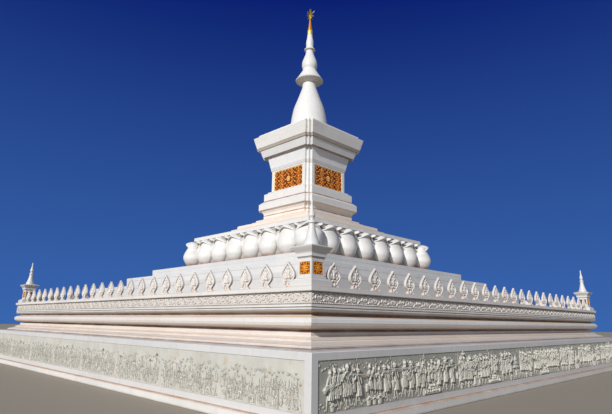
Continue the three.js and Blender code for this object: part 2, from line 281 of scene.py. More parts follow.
def boss(mesh, x, z, wide, tall, deep, lean=0.0, out=0.0, sides=8):
    """Carves a rounded boss: a squashed ball at (x, z) on the ground of the slab."""
    place = (Matrix.Translation((x, -out, z)) @ Matrix.Rotation(lean, 4, "Y")
             @ Matrix.Diagonal((wide, deep, tall, 1)))
    bmesh.ops.create_uvsphere(mesh, u_segments=sides, v_segments=sides // 2 + 1, radius=1, matrix=place)


def limb(mesh, start, end, thick_start, thick_end, flat=0.6, out=0.0, sides=6):
    """Carves a tapered rod from one (x, z) to another, such as an arm, a stem or a trunk."""
    run = Vector((end[0] - start[0], 0, end[1] - start[1]))
    middle = ((start[0] + end[0]) / 2, -out, (start[1] + end[1]) / 2)
    place = (Matrix.Translation(middle) @ Matrix.Diagonal((1, flat, 1, 1))
             @ run.to_track_quat("Z", "Y").to_matrix().to_4x4())
    bmesh.ops.create_cone(mesh, cap_ends=True, segments=sides, radius1=thick_start, radius2=thick_end,
                          depth=run.length, matrix=place)


def drawn(mesh, x, foot, tall, hand=1, lean=0.0, flat=0.6, sides=6):
    """Gives a function that carves a rod and one that carves a ball, with places and widths in
    parts of a motif's height, from its foot at (x, foot). Hand is 1 or -1, the way the motif
    faces, and lean tips it forwards."""
    def at(across, up):
        return (x + hand * (across + lean * up) * tall, foot + up * tall)

    def rod(start, end, thick_start, thick_end, out=0.0, flat=flat, sides=sides):
        limb(mesh, at(*start), at(*end), thick_start * tall, thick_end * tall, flat, out * tall, sides)

    def ball(across, up, wide, high, deep, tilt=0.0, out=0.0, sides=sides):
        boss(mesh, *at(across, up), wide * tall, high * tall, deep * tall, hand * tilt, out * tall, sides)

    return rod, ball


def figure(mesh, x, foot, tall, pose, hand, dice, detail=6):
    """A walking figure in a knee-length wrap, with a plain round head. Hand is 1 or -1, the way it
    faces, and the pose says what it carries."""
    rod, ball = drawn(mesh, x, foot, tall, hand, dice.uniform(-0.04, 0.07), 0.7, detail)
    stride = dice.uniform(0.04, 0.12)
    rod((0.02, 0.46), (0.02 + stride * 0.8, 0.25), 0.055, 0.036)
    rod((0.02 + stride * 0.8, 0.26), (0.01 + stride, 0.03), 0.034, 0.020)
    rod((-0.02, 0.46), (-0.01, 0.25), 0.052, 0.036)
    rod((-0.01, 0.26), (-0.02 - stride, 0.04), 0.034, 0.020)
    rod((0.0 + stride, 0.02), (0.07 + stride, 0.015), 0.020, 0.014)
    rod((-0.03 - stride, 0.03), (0.03 - stride, 0.015), 0.020, 0.014)
    rod((0.01, 0.26), (0.0, 0.52), 0.050 + stride * 0.45, 0.048)
    for fold in (-0.05, 0.0, 0.05):
        rod((fold * 1.4, 0.27), (fold * 0.6, 0.49), 0.011, 0.008, 0.058)
    rod((0.0, 0.5), (0.02, 0.76), 0.046, 0.068)
    ball(0.02, 0.775, 0.090, 0.035, 0.055)
    rod((-0.03, 0.50), (0.07, 0.74), 0.010, 0.010, 0.055)
    rod((-0.06, 0.51), (0.06, 0.50), 0.014, 0.014, 0.045)
    rod((0.02, 0.78), (0.03, 0.87), 0.03, 0.026)
    ball(0.035, 0.905, 0.047, 0.062, 0.066)
    shoulder_near, shoulder_far = (0.10, 0.76), (-0.075, 0.765)
    if pose == "drum":
        rod((0.10, 0.60), (0.26, 0.47), 0.066, 0.066, 0.03)
        rod(shoulder_near, (0.15, 0.62), 0.030, 0.026, 0.03)
        rod((0.15, 0.62), (0.24, 0.58), 0.024, 0.018, 0.06)
        rod(shoulder_far, (-0.07, 0.60), 0.030, 0.026, 0.03)
        rod((-0.07, 0.60), (0.10, 0.55), 0.024, 0.018, 0.06)
        ball(0.03, 0.965, 0.055, 0.022, 0.06)
    elif pose == "pipe":
        rod(shoulder_near, (0.20, 0.66), 0.030, 0.024, 0.03)
        rod((0.20, 0.66), (0.14, 0.80), 0.022, 0.018, 0.05)
        rod(shoulder_far, (0.04, 0.62), 0.030, 0.024, 0.03)
        rod((0.04, 0.62), (0.17, 0.72), 0.022, 0.018, 0.06)
        rod((0.07, 0.87), (0.27, 0.66), 0.012, 0.020, 0.07)
        ball(0.0, 0.945, 0.030, 0.030, 0.04)
    elif pose == "bearer":
        rod((-0.42, 0.80), (0.42, 0.84), 0.014, 0.014, 0.07)
        for end_at in (-0.38, 0.38):
            rod((end_at, 0.80), (end_at, 0.50), 0.006, 0.006, 0.02)
            rod((end_at, 0.50), (end_at, 0.34), 0.085, 0.055, 0.0)
            ball(end_at, 0.51, 0.075, 0.05, 0.05)
        rod(shoulder_near, (0.21, 0.70), 0.030, 0.024, 0.03)
        rod((0.21, 0.70), (0.17, 0.82), 0.022, 0.018, 0.06)
        rod(shoulder_far, (-0.13, 0.58), 0.030, 0.022, 0.02)
        rod((0.03, 0.93), (0.03, 1.01), 0.105, 0.012, 0.0)
    elif pose == "dance":
        rod(shoulder_near, (0.22, 0.74), 0.028, 0.022, 0.02)
        rod((0.22, 0.74), (0.27, 0.92), 0.020, 0.012, 0.03)
        rod(shoulder_far, (-0.20, 0.70), 0.028, 0.022, 0.02)
        rod((-0.20, 0.70), (-0.27, 0.60), 0.020, 0.012, 0.03)
        rod((0.02, 0.95), (0.01, 1.08), 0.034, 0.004, 0.0)
        rod((-0.08, 0.74), (-0.16, 0.36), 0.010, 0.022, 0.03)
    elif pose == "fan":
        rod(shoulder_near, (0.19, 0.66), 0.030, 0.024, 0.03)
        rod((0.19, 0.66), (0.22, 0.78), 0.022, 0.018, 0.05)
        rod((0.24, 0.18), (0.20, 1.10), 0.011, 0.011, 0.03)
        ball(0.195, 1.19, 0.075, 0.12, 0.02)
        rod(shoulder_far, (-0.11, 0.60), 0.030, 0.022, 0.02)
        ball(0.0, 0.965, 0.030, 0.030, 0.04)
    elif pose == "tray":
        rod(shoulder_far, (-0.13, 0.88), 0.028, 0.022, 0.02)
        rod((-0.13, 0.88), (-0.06, 0.98), 0.020, 0.016, 0.03)
        rod(shoulder_near, (0.19, 0.66), 0.030, 0.024, 0.03)
        rod((0.19, 0.66), (0.10, 0.58), 0.022, 0.018, 0.05)
        ball(0.03, 1.00, 0.12, 0.022, 0.06)
        for fruit in (-0.05, 0.03, 0.11):
            ball(fruit, 1.035, 0.035, 0.032, 0.04)
        ball(0.03, 1.085, 0.030, 0.030, 0.035)
    else:
        rod(shoulder_near, (0.16, 0.63), 0.030, 0.026, 0.03)
        rod((0.16, 0.63), (0.10, 0.72), 0.024, 0.016, 0.06)
        rod(shoulder_far, (-0.07, 0.62), 0.030, 0.024, 0.03)
        rod((-0.07, 0.62), (0.09, 0.70), 0.024, 0.016, 0.07)
        rod((-0.07, 0.79), (0.07, 0.52), 0.020, 0.026, 0.06)
        ball(0.02, 0.965, 0.032, 0.036, 0.045)


def offering(mesh, x, foot, tall, dice):
    """A heap of fruit and leaves on a low stand, between two vases."""
    rod, ball = drawn(mesh, x, foot, tall, flat=0.8)
    for fruit in range(16):
        row = int(dice.uniform(0, 3))
        across = dice.uniform(-0.32, 0.32) * (1 - 0.28 * row)
        ball(across, 0.12 + 0.085 * row, 0.062, 0.05, 0.07, dice.uniform(-1, 1))
    for leaf in range(9):
        across = dice.uniform(-0.36, 0.36)
        rod((across, 0.08), (across * 1.35 + 0.03, 0.3), 0.020, 0.004, 0.02 / tall, sides=5)
    rod((-0.4, 0.05), (0.4, 0.05), 0.03, 0.03, 0.01 / tall, 0.9, 5)
    for across in (-0.47, 0.47):
        ball(across, 0.1, 0.055, 0.08, 0.06, sides=8)
        rod((across, 0.16), (across, 0.24), 0.022, 0.04)


def kneeling_figure(mesh, x, foot, tall, hand):
    """A figure that kneels with raised hands, about half as tall as one that stands."""
    rod, ball = drawn(mesh, x, foot, tall, hand)
    rod((-0.16, 0.07), (0.14, 0.09), 0.07, 0.09)
    rod((-0.02, 0.1), (0.02, 0.42), 0.1, 0.09)
    ball(0.03, 0.53, 0.055, 0.07, 0.07, sides=8)
    ball(0.01, 0.6, 0.032, 0.032, 0.05)
    rod((0.04, 0.38), (0.17, 0.34), 0.032, 0.028, 0.03)
    rod((0.17, 0.34), (0.14, 0.5), 0.028, 0.02, 0.04)


def crown_tree(mesh, x, foot, tall, dice):
    """A round-headed tree: a bent trunk under a dome of small overlapping leaves."""
    rod, ball = drawn(mesh, x, foot, tall)
    bend = dice.uniform(-0.06, 0.06)
    rod((0, 0), (bend, 0.4), 0.05, 0.032)
    rod((bend, 0.38), (-bend, 0.7), 0.034, 0.02)
    astray = 0.01 / tall
    for ring, leaves in ((0.27, 13), (0.19, 10), (0.11, 7), (0.03, 3)):
        for i in range(leaves):
            angle = math.pi * (-0.25 + 1.5 * i / (leaves - 1))
            across = math.cos(angle) * ring + dice.uniform(-astray, astray)
            up = 0.66 + math.sin(angle) * ring * 0.85 + dice.uniform(-astray, astray)
            tilt = math.pi / 2 - angle + dice.uniform(-0.5, 0.5)
            ball(across, up, 0.034, 0.050, 0.075 - 0.1 * ring, tilt, sides=5)


def palm_tree(mesh, x, foot, tall, dice):
    """A palm: a slim ringed trunk with drooping fronds."""
    rod = drawn(mesh, x, foot, tall)[0]
    lean = dice.uniform(-0.1, 0.1)
    for ring in range(6):
        low, high = ring / 6, (ring + 1.1) / 6
        rod((lean * low, 0.72 * low), (lean * high, 0.72 * high), 0.034, 0.026)
    for frond in range(8):
        angle = math.pi * (0.02 + 0.96 * frond / 7)
        knee = (lean + math.cos(angle) * 0.17, 0.77 + math.sin(angle) * 0.2)
        tip = (lean + math.cos(angle) * 0.3, 0.67 + math.sin(angle) * 0.2)
        rod((lean, 0.74), knee, 0.02, 0.034)
        rod(knee, tip, 0.034, 0.004)


def pavilion(mesh, x, foot, tall):
    """An open pavilion: a stepped floor, four posts and three roofs with upturned eaves."""
    rod = drawn(mesh, x, foot, tall, flat=0.8)[0]
    for half, up in ((0.34, 0.03), (0.29, 0.08)):
        rod((-half, up), (half, up), 0.03, 0.03, flat=0.9, sides=4)
    for post in (-0.24, -0.09, 0.09, 0.24):
        rod((post, 0.1), (post, 0.45), 0.024, 0.02)
    for half, up in ((0.38, 0.47), (0.27, 0.62), (0.16, 0.77)):
        rod((0, up - 0.02), (0, up + 0.13), half, half * 0.35, flat=0.055 / half, sides=12)
        for hand in (-1, 1):
            rod((hand * half * 0.9, up), (hand * half * 1.15, up + 0.07), 0.02, 0.004)
    rod((0, 0.86), (0, 1.05), 0.03, 0.003)


def elephant(mesh, x, foot, tall):
    """A walking elephant with a cloth on its back."""
    rod, ball = drawn(mesh, x, foot, tall)
    ball(0.0, 0.55, 0.4, 0.26, 0.1, sides=12)
    ball(0.42, 0.68, 0.17, 0.18, 0.1, sides=10)
    ball(0.33, 0.66, 0.08, 0.14, 0.05, 0.2, 0.07, 8)
    for leg in (-0.28, -0.12, 0.12, 0.26):
        rod((leg, 0.0), (leg, 0.45), 0.075, 0.085)
    trunk = [(0.52, 0.66), (0.6, 0.45), (0.6, 0.25), (0.66, 0.14), (0.74, 0.16)]
    for i in range(4):
        rod(trunk[i], trunk[i + 1], 0.07 - 0.014 * i, 0.058 - 0.014 * i, flat=0.7)
    rod((0.5, 0.5), (0.66, 0.44), 0.02, 0.006, 0.04, 0.8)
    rod((-0.38, 0.62), (-0.44, 0.35), 0.018, 0.01, flat=0.8)
    ball(-0.02, 0.66, 0.2, 0.17, 0.05, 0.0, 0.07, 8)


def thicket(mesh, x0, x1, foot, rise, dice):
    """Low leaves and grass that fill the ground behind the figures."""
    x = x0
    while x < x1:
        up = foot + dice.uniform(0.0, rise)
        if dice.random() < 0.4:
            for lean in (-0.8, 0.0, 0.8):
                tip = (x + math.sin(lean) * 0.06, up + math.cos(lean) * 0.06)
                limb(mesh, (x, up), tip, 0.012, 0.002, 0.8, 0.0, 4)
        else:
            wide, tall = dice.uniform(0.02, 0.045), dice.uniform(0.012, 0.03)
            boss(mesh, x, up, wide, tall, 0.012, dice.uniform(-1, 1), 0.0, 6)
        x += dice.uniform(0.03, 0.07)


def far_figure(mesh, x, foot, tall):
    """A figure in the crowd behind: no more than a cloak, shoulders and a head."""
    rod, ball = drawn(mesh, x, foot, tall, flat=0.8, sides=4)
    for fold in (-0.06, 0.05):
        rod((fold * 1.6, 0), (fold * 0.8, 0.5), 0.046, 0.03)
    rod((0, 0.46), (0, 0.74), 0.06, 0.085, flat=0.7)
    ball(0, 0.76, 0.11, 0.045, 0.05, sides=6)
    ball(0, 0.9, 0.05, 0.065, 0.05, sides=6)


def basket(mesh, x, foot, tall, dice):
    """A round basket with a heaped load."""
    rod, ball = drawn(mesh, x, foot, tall)
    rod((0, 0), (0, 0.5), 0.34, 0.46, flat=0.35, sides=8)
    for i in (-2, -1, 0, 1, 2):
        ball(i * 0.17, 0.8 - 0.12 * abs(i), 0.12, 0.1, 0.2, dice.uniform(-0.5, 0.5))


POSES = ("drum", "pipe", "bearer", "dance", "fan", "tray", "bow", "pipe", "tray", "drum")
BACK_POSES = ("pipe", "fan", "bow", "dance")
SCENES = ("bundles", "offering", "tree", "pavilion", "offering", "palm", "elephant", "bundles")
FAR_DETAIL = 4
END_MARGIN = 0.26
SLAB_MARGIN = 0.14


def procession(mesh, x0, x1, foot, dice, number):
    """A festival walk on one slab, from x0 to x1: tall figures in close groups, a crowd behind
    them, and trees, elephants, loads and offerings between the groups."""
    carve(mesh, thicket, x0 + 0.03, x1 - 0.06, foot + 0.01, 0.12, dice)
    carve(mesh, thicket, x0 + 0.03, x1 - 0.06, foot + 0.58, 0.1, dice)
    x = x0 + (END_MARGIN if number == 0 else SLAB_MARGIN)
    stop = x1 - (END_MARGIN if number == SLABS - 1 else SLAB_MARGIN)
    count = number
    while x < stop:
        hand = dice.choice([-1, 1, 1])
        for i in range(dice.randint(3, 5)):
            if x > stop:
                break
            pose = dice.choice(POSES)
            wide = pose == "bearer"
            x += 0.08 * wide
            if dice.random() < 0.7:
                carve(mesh, figure, x + dice.uniform(0.05, 0.09), foot + dice.uniform(0.08, 0.12),
                      dice.uniform(0.52, 0.58), dice.choice(BACK_POSES), -hand, dice, FAR_DETAIL)
            if dice.random() < 0.25:
                carve(mesh, basket, x + 0.07, foot, 0.14, dice)
            carve(mesh, figure, x, foot + dice.uniform(0.0, 0.03), dice.uniform(0.58, 0.67), pose,
                  hand, dice)
            x += 0.22 if wide else dice.uniform(0.12, 0.18)
        scene = SCENES[count % len(SCENES)]
        count += 1
        if scene == "elephant" and x < x1 - 0.62:
            carve(mesh, elephant, x + 0.26, foot, 0.46)
            carve(mesh, kneeling_figure, x + 0.24, foot + 0.33, 0.36, 1)
            x += 0.60
        elif scene == "pavilion" and x < x1 - 0.56:
            carve(mesh, pavilion, x + 0.25, foot, 0.62)
            carve(mesh, kneeling_figure, x + 0.25, foot + 0.06, 0.36, 1)
            x += 0.54
        elif scene == "palm" and x < x1 - 0.3:
            carve(mesh, palm_tree, x + 0.1, foot, 0.70, dice)
            carve(mesh, basket, x + 0.18, foot, 0.16, dice)
            x += 0.22
        elif scene == "bundles" and x < x1 - 0.5:
            for load in range(3):
                carve(mesh, basket, x + 0.06 + 0.15 * load, foot, dice.uniform(0.16, 0.2), dice)
                carve(mesh, figure, x + 0.08 + 0.13 * load, foot + dice.uniform(0.08, 0.14),
                      dice.uniform(0.50, 0.56), dice.choice(BACK_POSES), hand, dice, FAR_DETAIL)
            x += 0.46
        elif scene == "tree" and x < x1 - 0.46:
            carve(mesh, crown_tree, x + 0.18, foot, 0.70, dice)
            carve(mesh, kneeling_figure, x + 0.08, foot, 0.5, 1)
            carve(mesh, kneeling_figure, x + 0.30, foot, 0.46, -1)
            x += 0.40
        elif x < x1 - 0.5:
            for guest in range(3):
                carve(mesh, figure, x + 0.09 + 0.12 * guest, foot + dice.uniform(0.10, 0.17), 0.50,
                      dice.choice(BACK_POSES), hand, dice, FAR_DETAIL)
            carve(mesh, offering, x + 0.22, foot, 0.56, dice)
            x += 0.46


def village(mesh, x0, x1, foot, dice):
    """Small figures at work in a close crowd on one slab, with low trees and houses behind."""
    for rise in (0.03, 0.22, 0.41):
        carve(mesh, thicket, x0 + 0.04, x1 - 0.08, foot + rise, 0.16, dice)
    x = x0 + 0.2
    while x < x1 - 0.16:
        scene = dice.choice(["tree", "palm", "house", "tree", "none"])
        up = foot + dice.uniform(0.24, 0.40)
        size = dice.uniform(0.20, 0.28)
        if scene == "tree":
            carve(mesh, crown_tree, x, up, size, dice)
        elif scene == "palm":
            carve(mesh, palm_tree, x, up, size, dice)
        elif scene == "house":
            carve(mesh, pavilion, x, up, size)
        x += dice.uniform(0.2, 0.4)
    for row, (rise, size) in enumerate(((0.28, 0.15), (0.17, 0.17), (0.09, 0.19), (0.005, 0.21))):
        x = x0 + 0.09 + 0.03 * row
        while x < x1 - 0.08:
            up = foot + rise + dice.uniform(-0.01, 0.025)
            tall = size * dice.uniform(0.9, 1.15)
            kind = dice.random()
            if kind < 0.2:
                carve(mesh, kneeling_figure, x, up, tall, dice.choice([-1, 1]))
            elif kind < 0.3:
                carve(mesh, basket, x, up, 0.07, dice)
            elif row >= 2 and kind < 0.75:
                carve(mesh, figure, x, up, tall, dice.choice(POSES), dice.choice([-1, 1]), dice, FAR_DETAIL)
            else:
                carve(mesh, far_figure, x, up, tall)
            x += dice.uniform(0.05, 0.10) + 0.12 * (dice.random() < 0.10)


def carved_stone(name, tone, ground, foot, low):
    """Soft grey stone, carved and left matt. Faces just above the ground take the foot colour, a
    painted shade line where each form rises, and the raised parts take the pale tone, so that the
    ground between stays darker as painted shade. Low is the ground's distance from the axis."""
    finish, tree, shader, place, xyz = new_finish(name)
    out = add(tree, "Math", off_axis(tree, xyz), operation="MAXIMUM")
    # Grey and pale stone lie in clouds about 40 cm across.
    cloudy = add(tree, "TexNoise", {"Vector": place, "Scale": 2.5, "Detail": 6.0, "Roughness": 0.65})
    pale = add(tree, "MapRange", {"Value": cloudy, "From Min": 0.35, "From Max": 0.7, "To Max": 0.4})
    # Iron in the stone shows as tan patches up to 25 cm across.
    spots = add(tree, "TexNoise", {"Vector": place, "Scale": 4.0, "Detail": 3.0})
    spots = add(tree, "MapRange", {"Value": spots, "From Min": 0.56, "From Max": 0.72, "To Max": 0.5})
    # The foot colour is painted shade at the foot of each form; the pale tone on raised parts leaves the
    # ground darker as painted shade.
    foot_shade = add(tree, "MapRange", {"Value": out, "From Min": low + 0.0004, "From Max": low + 0.0016})
    raised = add(tree, "MapRange", {"Value": out, "From Min": low + 0.003, "From Max": low + 0.009})
    colour = ground
    for mask, over in ((pale, tone), (spots, "#BFA988"), (foot_shade, foot), (raised, tone)):
        colour = add(tree, "Mix", {0: mask, 6: colour, 7: over}, out=2, data_type="RGBA")
    # Chisel marks about 14 mm apart, with finer ones down to 2 mm.
    marks = add(tree, "TexNoise", {"Vector": place, "Scale": 72.0, "Detail": 3.0})
    bump = add(tree, "Bump", {"Strength": 0.5, "Distance": 0.004, "Height": marks})
    fill(tree, shader, {"Base Color": colour, "Roughness": 0.75, "IOR": 1.5, "Normal": bump})
    return finish


panel_low, panel_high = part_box("relief_panel_front")
panel_back = -panel_high.y
panel_half = panel_high.x
relief_ground = -panel_low.y + 0.005
# The third colour is the painted shade line at the foot of each carved form.
grey_stone = carved_stone("carved_grey_stone", "#D0CEC4", "#A4A59C", "#5C5850", relief_ground)
worn_stone = carved_stone("carved_worn_stone", "#EAE8DF", "#C0C0B7", "#7A756C", relief_ground)
# Depth is scaled by these, so that the walk is nearly twice as deep for its size as the village.
WALK_DEPTH = 1.25
VILLAGE_DEPTH = 0.7
SIDES = {"front": 0, "right": math.pi / 2, "back": math.pi, "left": 3 * math.pi / 2}
ground_line = panel_low.z + 0.012
slab_width = 2 * panel_half / SLABS
slab_size = (slab_width - SLAB_GAP, relief_ground - panel_back, panel_high.z - panel_low.z)
slab_y = -(relief_ground + panel_back) / 2
slab_z = (panel_low.z + panel_high.z) / 2
for seed, (side, heading) in enumerate(SIDES.items(), 40):
    dice = random.Random(seed)
    walk = side in ("right", "left")
    relief = bmesh.new()
    for i in range(SLABS):
        start = -panel_half + slab_width * i
        carving = bmesh.new()
        if walk:
            procession(carving, start, start + slab_width, ground_line, dice, i)
        else:
            village(carving, start, start + slab_width, ground_line, dice)
        depth = WALK_DEPTH if walk else VILLAGE_DEPTH
        bmesh.ops.scale(carving, vec=(1, depth, 1), verts=carving.verts)
        shift(carving, 0, -relief_ground, 0)
        join(relief, carving)
        join(relief, block((start + slab_width / 2, slab_y, slab_z), slab_size, 0.003))
    turn(relief, heading)
    stone = grey_stone if walk else worn_stone
    set_piece(f"relief_{side}", relief, stone, [f"relief_panel_{side}"], smooth=45)


# Stepped base
# Three set-back steps of cream marble slabs on the plinth's ledge, bedded in lime mortar. Rain
# that drips from the waist has left peach lines on every nosing.
# The dark line at 1.436, under the waist's groove, is painted shade, and so is the underside colour.
base_marble = honed_marble("honed_step_course_marble", "#E6DED5", "#DAD1C9", 1.6, joint=0.3,
                           underside_shade="#A98868",
                           seams=[(1.190, 0.016, "#9C8480", 1.0), (1.214, 0.014, "#CDC4C6", 0.8),
                                  (1.236, 0.009, "#E3B898", 0.8), (1.306, 0.014, "#D4BEB4", 0.8),
                                  (1.326, 0.009, "#E8BE9C", 0.8), (1.40, 0.03, "#D9CFCB", 0.8),
                                  (1.436, 0.012, "#9A7560", 0.9)])
lay_course("stepped_base", base_marble, arris=0.006)


# Waist moulding
# A round ridge between two deep grooves, cut on long blocks and bedded on the steps. The grooves
# are painted dark brown, as dust and painted shade, the underside of the ridge is painted tan as
# painted shade, and the top of the ridge is peach.
waist_marble = honed_marble("honed_waist_marble", "#E4E2DF", "#D8D4CF", 1.6, joint=0.25, underside_shade="#CDB8A4",
                            seams=[(1.463, 0.020, "#7A5A46", 1.0), (1.505, 0.024, "#B09A88", 0.9),
                                   (1.697, 0.024, "#EBC6A4", 1.0), (1.737, 0.026, "#84624C", 1.0)])
lay_course("waist_moulding", waist_marble, arris=0.006)


# Cornice
# The lip over the waist, of thin white slabs with a round nosing and an open joint that
# shows as a dark line. Dark lines under the nosing and at the foot of the course are painted
# shadow, and the underside colour is painted shade.
cornice_marble = honed_marble("honed_cornice_marble", "#E8E6E2", "#D8D6D3", 1.6, joint=0.3,
                              underside_shade="#A08A74",
                              # 1.764 and 1.815 are painted shadow lines, under the course and under the
                              # nosing; 1.852 is the open joint.
                              seams=[(1.764, 0.012, "#5A4636", 1.0), (1.815, 0.008, "#6A6058", 1.0),
                                     (1.852, 0.010, "#5E554E", 1.0), (1.903, 0.012, "#8A7C70", 0.8)])
lay_course("cornice", cornice_marble, arris=0.004)


# Frieze band
# A course of white marble blocks carved in place with a running vine over a row of beads. The
# ground behind the vine is painted darker, as dust and painted shade, and the vine keeps the pale tone.
frieze_marble = honed_marble("carved_frieze_marble", "#E8E4DF", "#DCD7D1", 1.56, joint=0.3, streaks=0.2,
                             recess_dust_and_shade=(8.106, 8.126, "#C8C0B8", 0.55),
                             # The dark line at 2.108 is painted shadow under the coping.
                             seams=[(1.91, 0.014, "#8C7A6A", 0.9), (2.108, 0.012, "#6B5F55", 1.0)])
lay_course("frieze_band", frieze_marble, arris=0.004)
VINE_MODULES = 52
VINE_END = 0.020
VINE_FOOT = 0.040
VINE_HEAD = 0.012
BEADS = 324
BEAD_HEIGHT = 0.021


def vine_module(mesh, pitch, rise):
    """One scroll of the vine, from 0 to pitch along X and from 0 to rise up. It rolls in to a
    small flower, and a leaf fills each corner that it leaves."""
    middle = pitch / 2
    points = [(0, rise * 0.3)]
    for i in range(11):
        angle = math.radians(200 - i * 47)
        reach = rise * (0.46 - 0.036 * i)
        points.append((middle + math.cos(angle) * reach * 1.25, rise / 2 + math.sin(angle) * reach))
    for i, (start, stop) in enumerate(zip(points, points[1:])):
        thick = 0.013 - 0.0005 * i
        limb(mesh, start, stop, thick, thick - 0.0005, 1.0, 0.006, 5)
    boss(mesh, middle, rise / 2, 0.018, 0.018, 0.026, sides=6)
    leaves = [(0.1, 0.84, 0.9), (0.9, 0.86, -0.7), (0.93, 0.2, 0.8), (0.3, 0.1, -1.2), (0.66, 0.94, 1.4),
              (0.72, 0.08, 1.5)]
    for across, up, lean in leaves:
        boss(mesh, across * pitch, up * rise, 0.014, 0.034, 0.02, lean, sides=6)


frieze_low, frieze_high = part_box("frieze_band")
frieze_face = frieze_high.x
vine_bottom = frieze_low.z + VINE_FOOT
vine_rise = frieze_high.z - VINE_HEAD - vine_bottom
vine_pitch = 2 * (frieze_face - VINE_END) / VINE_MODULES
bead_pitch = 2 * frieze_face / BEADS
module = bmesh.new()
vine_module(module, vine_pitch, vine_rise)
upside_down = Matrix.Translation((0, 0, vine_rise)) @ Matrix.Diagonal((1, 1, -1, 1))
for side, heading in SIDES.items():
    vine = bmesh.new()
    for i in range(VINE_MODULES):
        copy = module.copy()
        if i % 2:
            bmesh.ops.transform(copy, matrix=upside_down, verts=copy.verts)
            bmesh.ops.reverse_faces(copy, faces=copy.faces)
        shift(copy, -frieze_face + VINE_END + i * vine_pitch, -frieze_face, vine_bottom)
        join(vine, copy)
    for i in range(BEADS):
        bead = bmesh.new()
        boss(bead, (i + 0.5) * bead_pitch, BEAD_HEIGHT, 0.018, 0.014, 0.014, sides=6)
        shift(bead, -frieze_face, -frieze_face, frieze_low.z)
        join(vine, bead)
    turn(vine, heading)
    set_piece(f"frieze_scroll_{side}", vine, frieze_marble, smooth=50)
module.free()


# Terrace floor
# Marble paving inside the parapet, laid level. Walked on and rained on, so it is duller and
# creamier than the walls.
paving_marble = honed_marble("paving_marble", "#B8AEA2", "#A89E92", 0.8, roughness=0.5)
lay_course("terrace_floor", paving_marble, arris=0.003)


# Parapet
# A coping of white marble slabs, mitred at the corners, with a row of leaf-shaped merlons
# dowelled on it. Each merlon is one block: a raised rim round a sunk field with a bud in it.
MERLONS = 25
MERLON_PITCH = 0.616
MERLON_FACE = 7.990
MERLON_THICKNESS = 0.048
COPING_INNER = 7.840
# The dark line at 2.118 under the coping is painted shadow, and the sunk fields of the merlons are painted
# darker, as dust and painted shade.
parapet_marble = honed_marble("carved_parapet_marble", "#ECEAE6", "#DCDAD7", 2 * MERLON_PITCH, joint=0.25,
                              streaks=0.16, recess_dust_and_shade=(7.970, MERLON_FACE, "#CBB5A7", 0.4),
                              seams=[(2.118, 0.012, "#8C8078", 0.9), (2.205, 0.025, "#C9AE98", 0.8),
                                     (2.26, 0.05, "#D9BCAC", 0.5)])


def slab(corners, vec):
    """Raises a flat outline along a vector to a closed slab."""
    mesh = bmesh.new()
    face = mesh.faces.new([mesh.verts.new(corner) for corner in corners])
    grown = bmesh.ops.extrude_face_region(mesh, geom=[face])
    moved = [item for item in grown["geom"] if isinstance(item, bmesh.types.BMVert)]
    bmesh.ops.translate(mesh, vec=vec, verts=moved)
    bmesh.ops.recalc_face_normals(mesh, faces=mesh.faces)
    return mesh


def leaf_merlon():
    """One merlon with its outer face towards -Y, its foot at z = 0 and its middle at x = 0."""
    half = [(0.135, -0.01), (0.135, 0.018), (0.122, 0.032), (0.096, 0.05), (0.080, 0.075), (0.098, 0.098),
            (0.130, 0.122), (0.155, 0.150), (0.172, 0.182), (0.178, 0.212), (0.173, 0.243), (0.158, 0.277),
            (0.136, 0.313), (0.108, 0.348), (0.078, 0.381), (0.046, 0.412), (0.020, 0.437)]
    outline = half + [(0.0, 0.465)] + [(-x, z) for x, z in reversed(half)]
    mesh = slab([(x, 0, z) for x, z in outline], (0, MERLON_THICKNESS, 0))
    front = min(mesh.faces, key=lambda each: each.calc_center_median().y)
    for thickness, depth in ((0.006, 0.004), (0.016, 0.0), (0.006, -0.022)):
        bmesh.ops.inset_region(mesh, faces=[front], thickness=thickness, depth=depth)
    carving = bmesh.new()
    boss(carving, 0, 0.255, 0.032, 0.085, 0.026, 0.0, -0.017)
    boss(carving, 0, 0.185, 0.045, 0.030, 0.022, 0.0, -0.017)
    for hand in (-1, 1):
        for across, up, lean, length in ((0.060, 0.225, 0.5, 0.05), (0.088, 0.180, 0.9, 0.042),
                                         (0.050, 0.300, 0.3, 0.05), (0.028, 0.355, 0.15, 0.04)):
            boss(carving, hand * across, up, 0.017, length, 0.020, hand * lean, -0.018, 6)
        boss(carving, hand * 0.118, 0.215, 0.013, 0.034, 0.018, hand * -0.1, -0.017, 6)
        boss(carving, hand * 0.045, 0.125, 0.016, 0.040, 0.020, hand * -0.9, -0.016, 6)
        limb(carving, (hand * 0.02, 0.03), (hand * 0.085, 0.02), 0.020, 0.026, 0.9, -0.006)
        boss(carving, hand * 0.1, 0.022, 0.026, 0.026, 0.020, sides=6)
    boss(carving, 0, 0.05, 0.032, 0.045, 0.022, sides=6)
    join(mesh, carving)
    return mesh


merlon = leaf_merlon()
coping_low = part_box("parapet_front")[0]
coping_face = -coping_low.y
coping_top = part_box("terrace_floor")[1].z
strip = [(-coping_face, -coping_face, coping_low.z), (coping_face, -coping_face, coping_low.z),
         (COPING_INNER, -COPING_INNER, coping_low.z), (-COPING_INNER, -COPING_INNER, coping_low.z)]
for side, heading in SIDES.items():
    row = slab(strip, (0, 0, coping_top - coping_low.z))
    long_edges = []
    for edge in row.edges:
        start, end = (vert.co for vert in edge.verts)
        if edge.calc_length() > 2 and abs(start.z - end.z) < 0.001:
            long_edges.append(edge)
    soften(row, long_edges, 0.008, 3)
    for i in range(MERLONS):
        copy = merlon.copy()
        shift(copy, (i - (MERLONS - 1) / 2) * MERLON_PITCH, -MERLON_FACE, coping_top)
        join(row, copy)
    turn(row, heading)
    set_piece(f"parapet_{side}_stone", row, parapet_marble, [f"parapet_{side}"], smooth=42)
merlon.free()


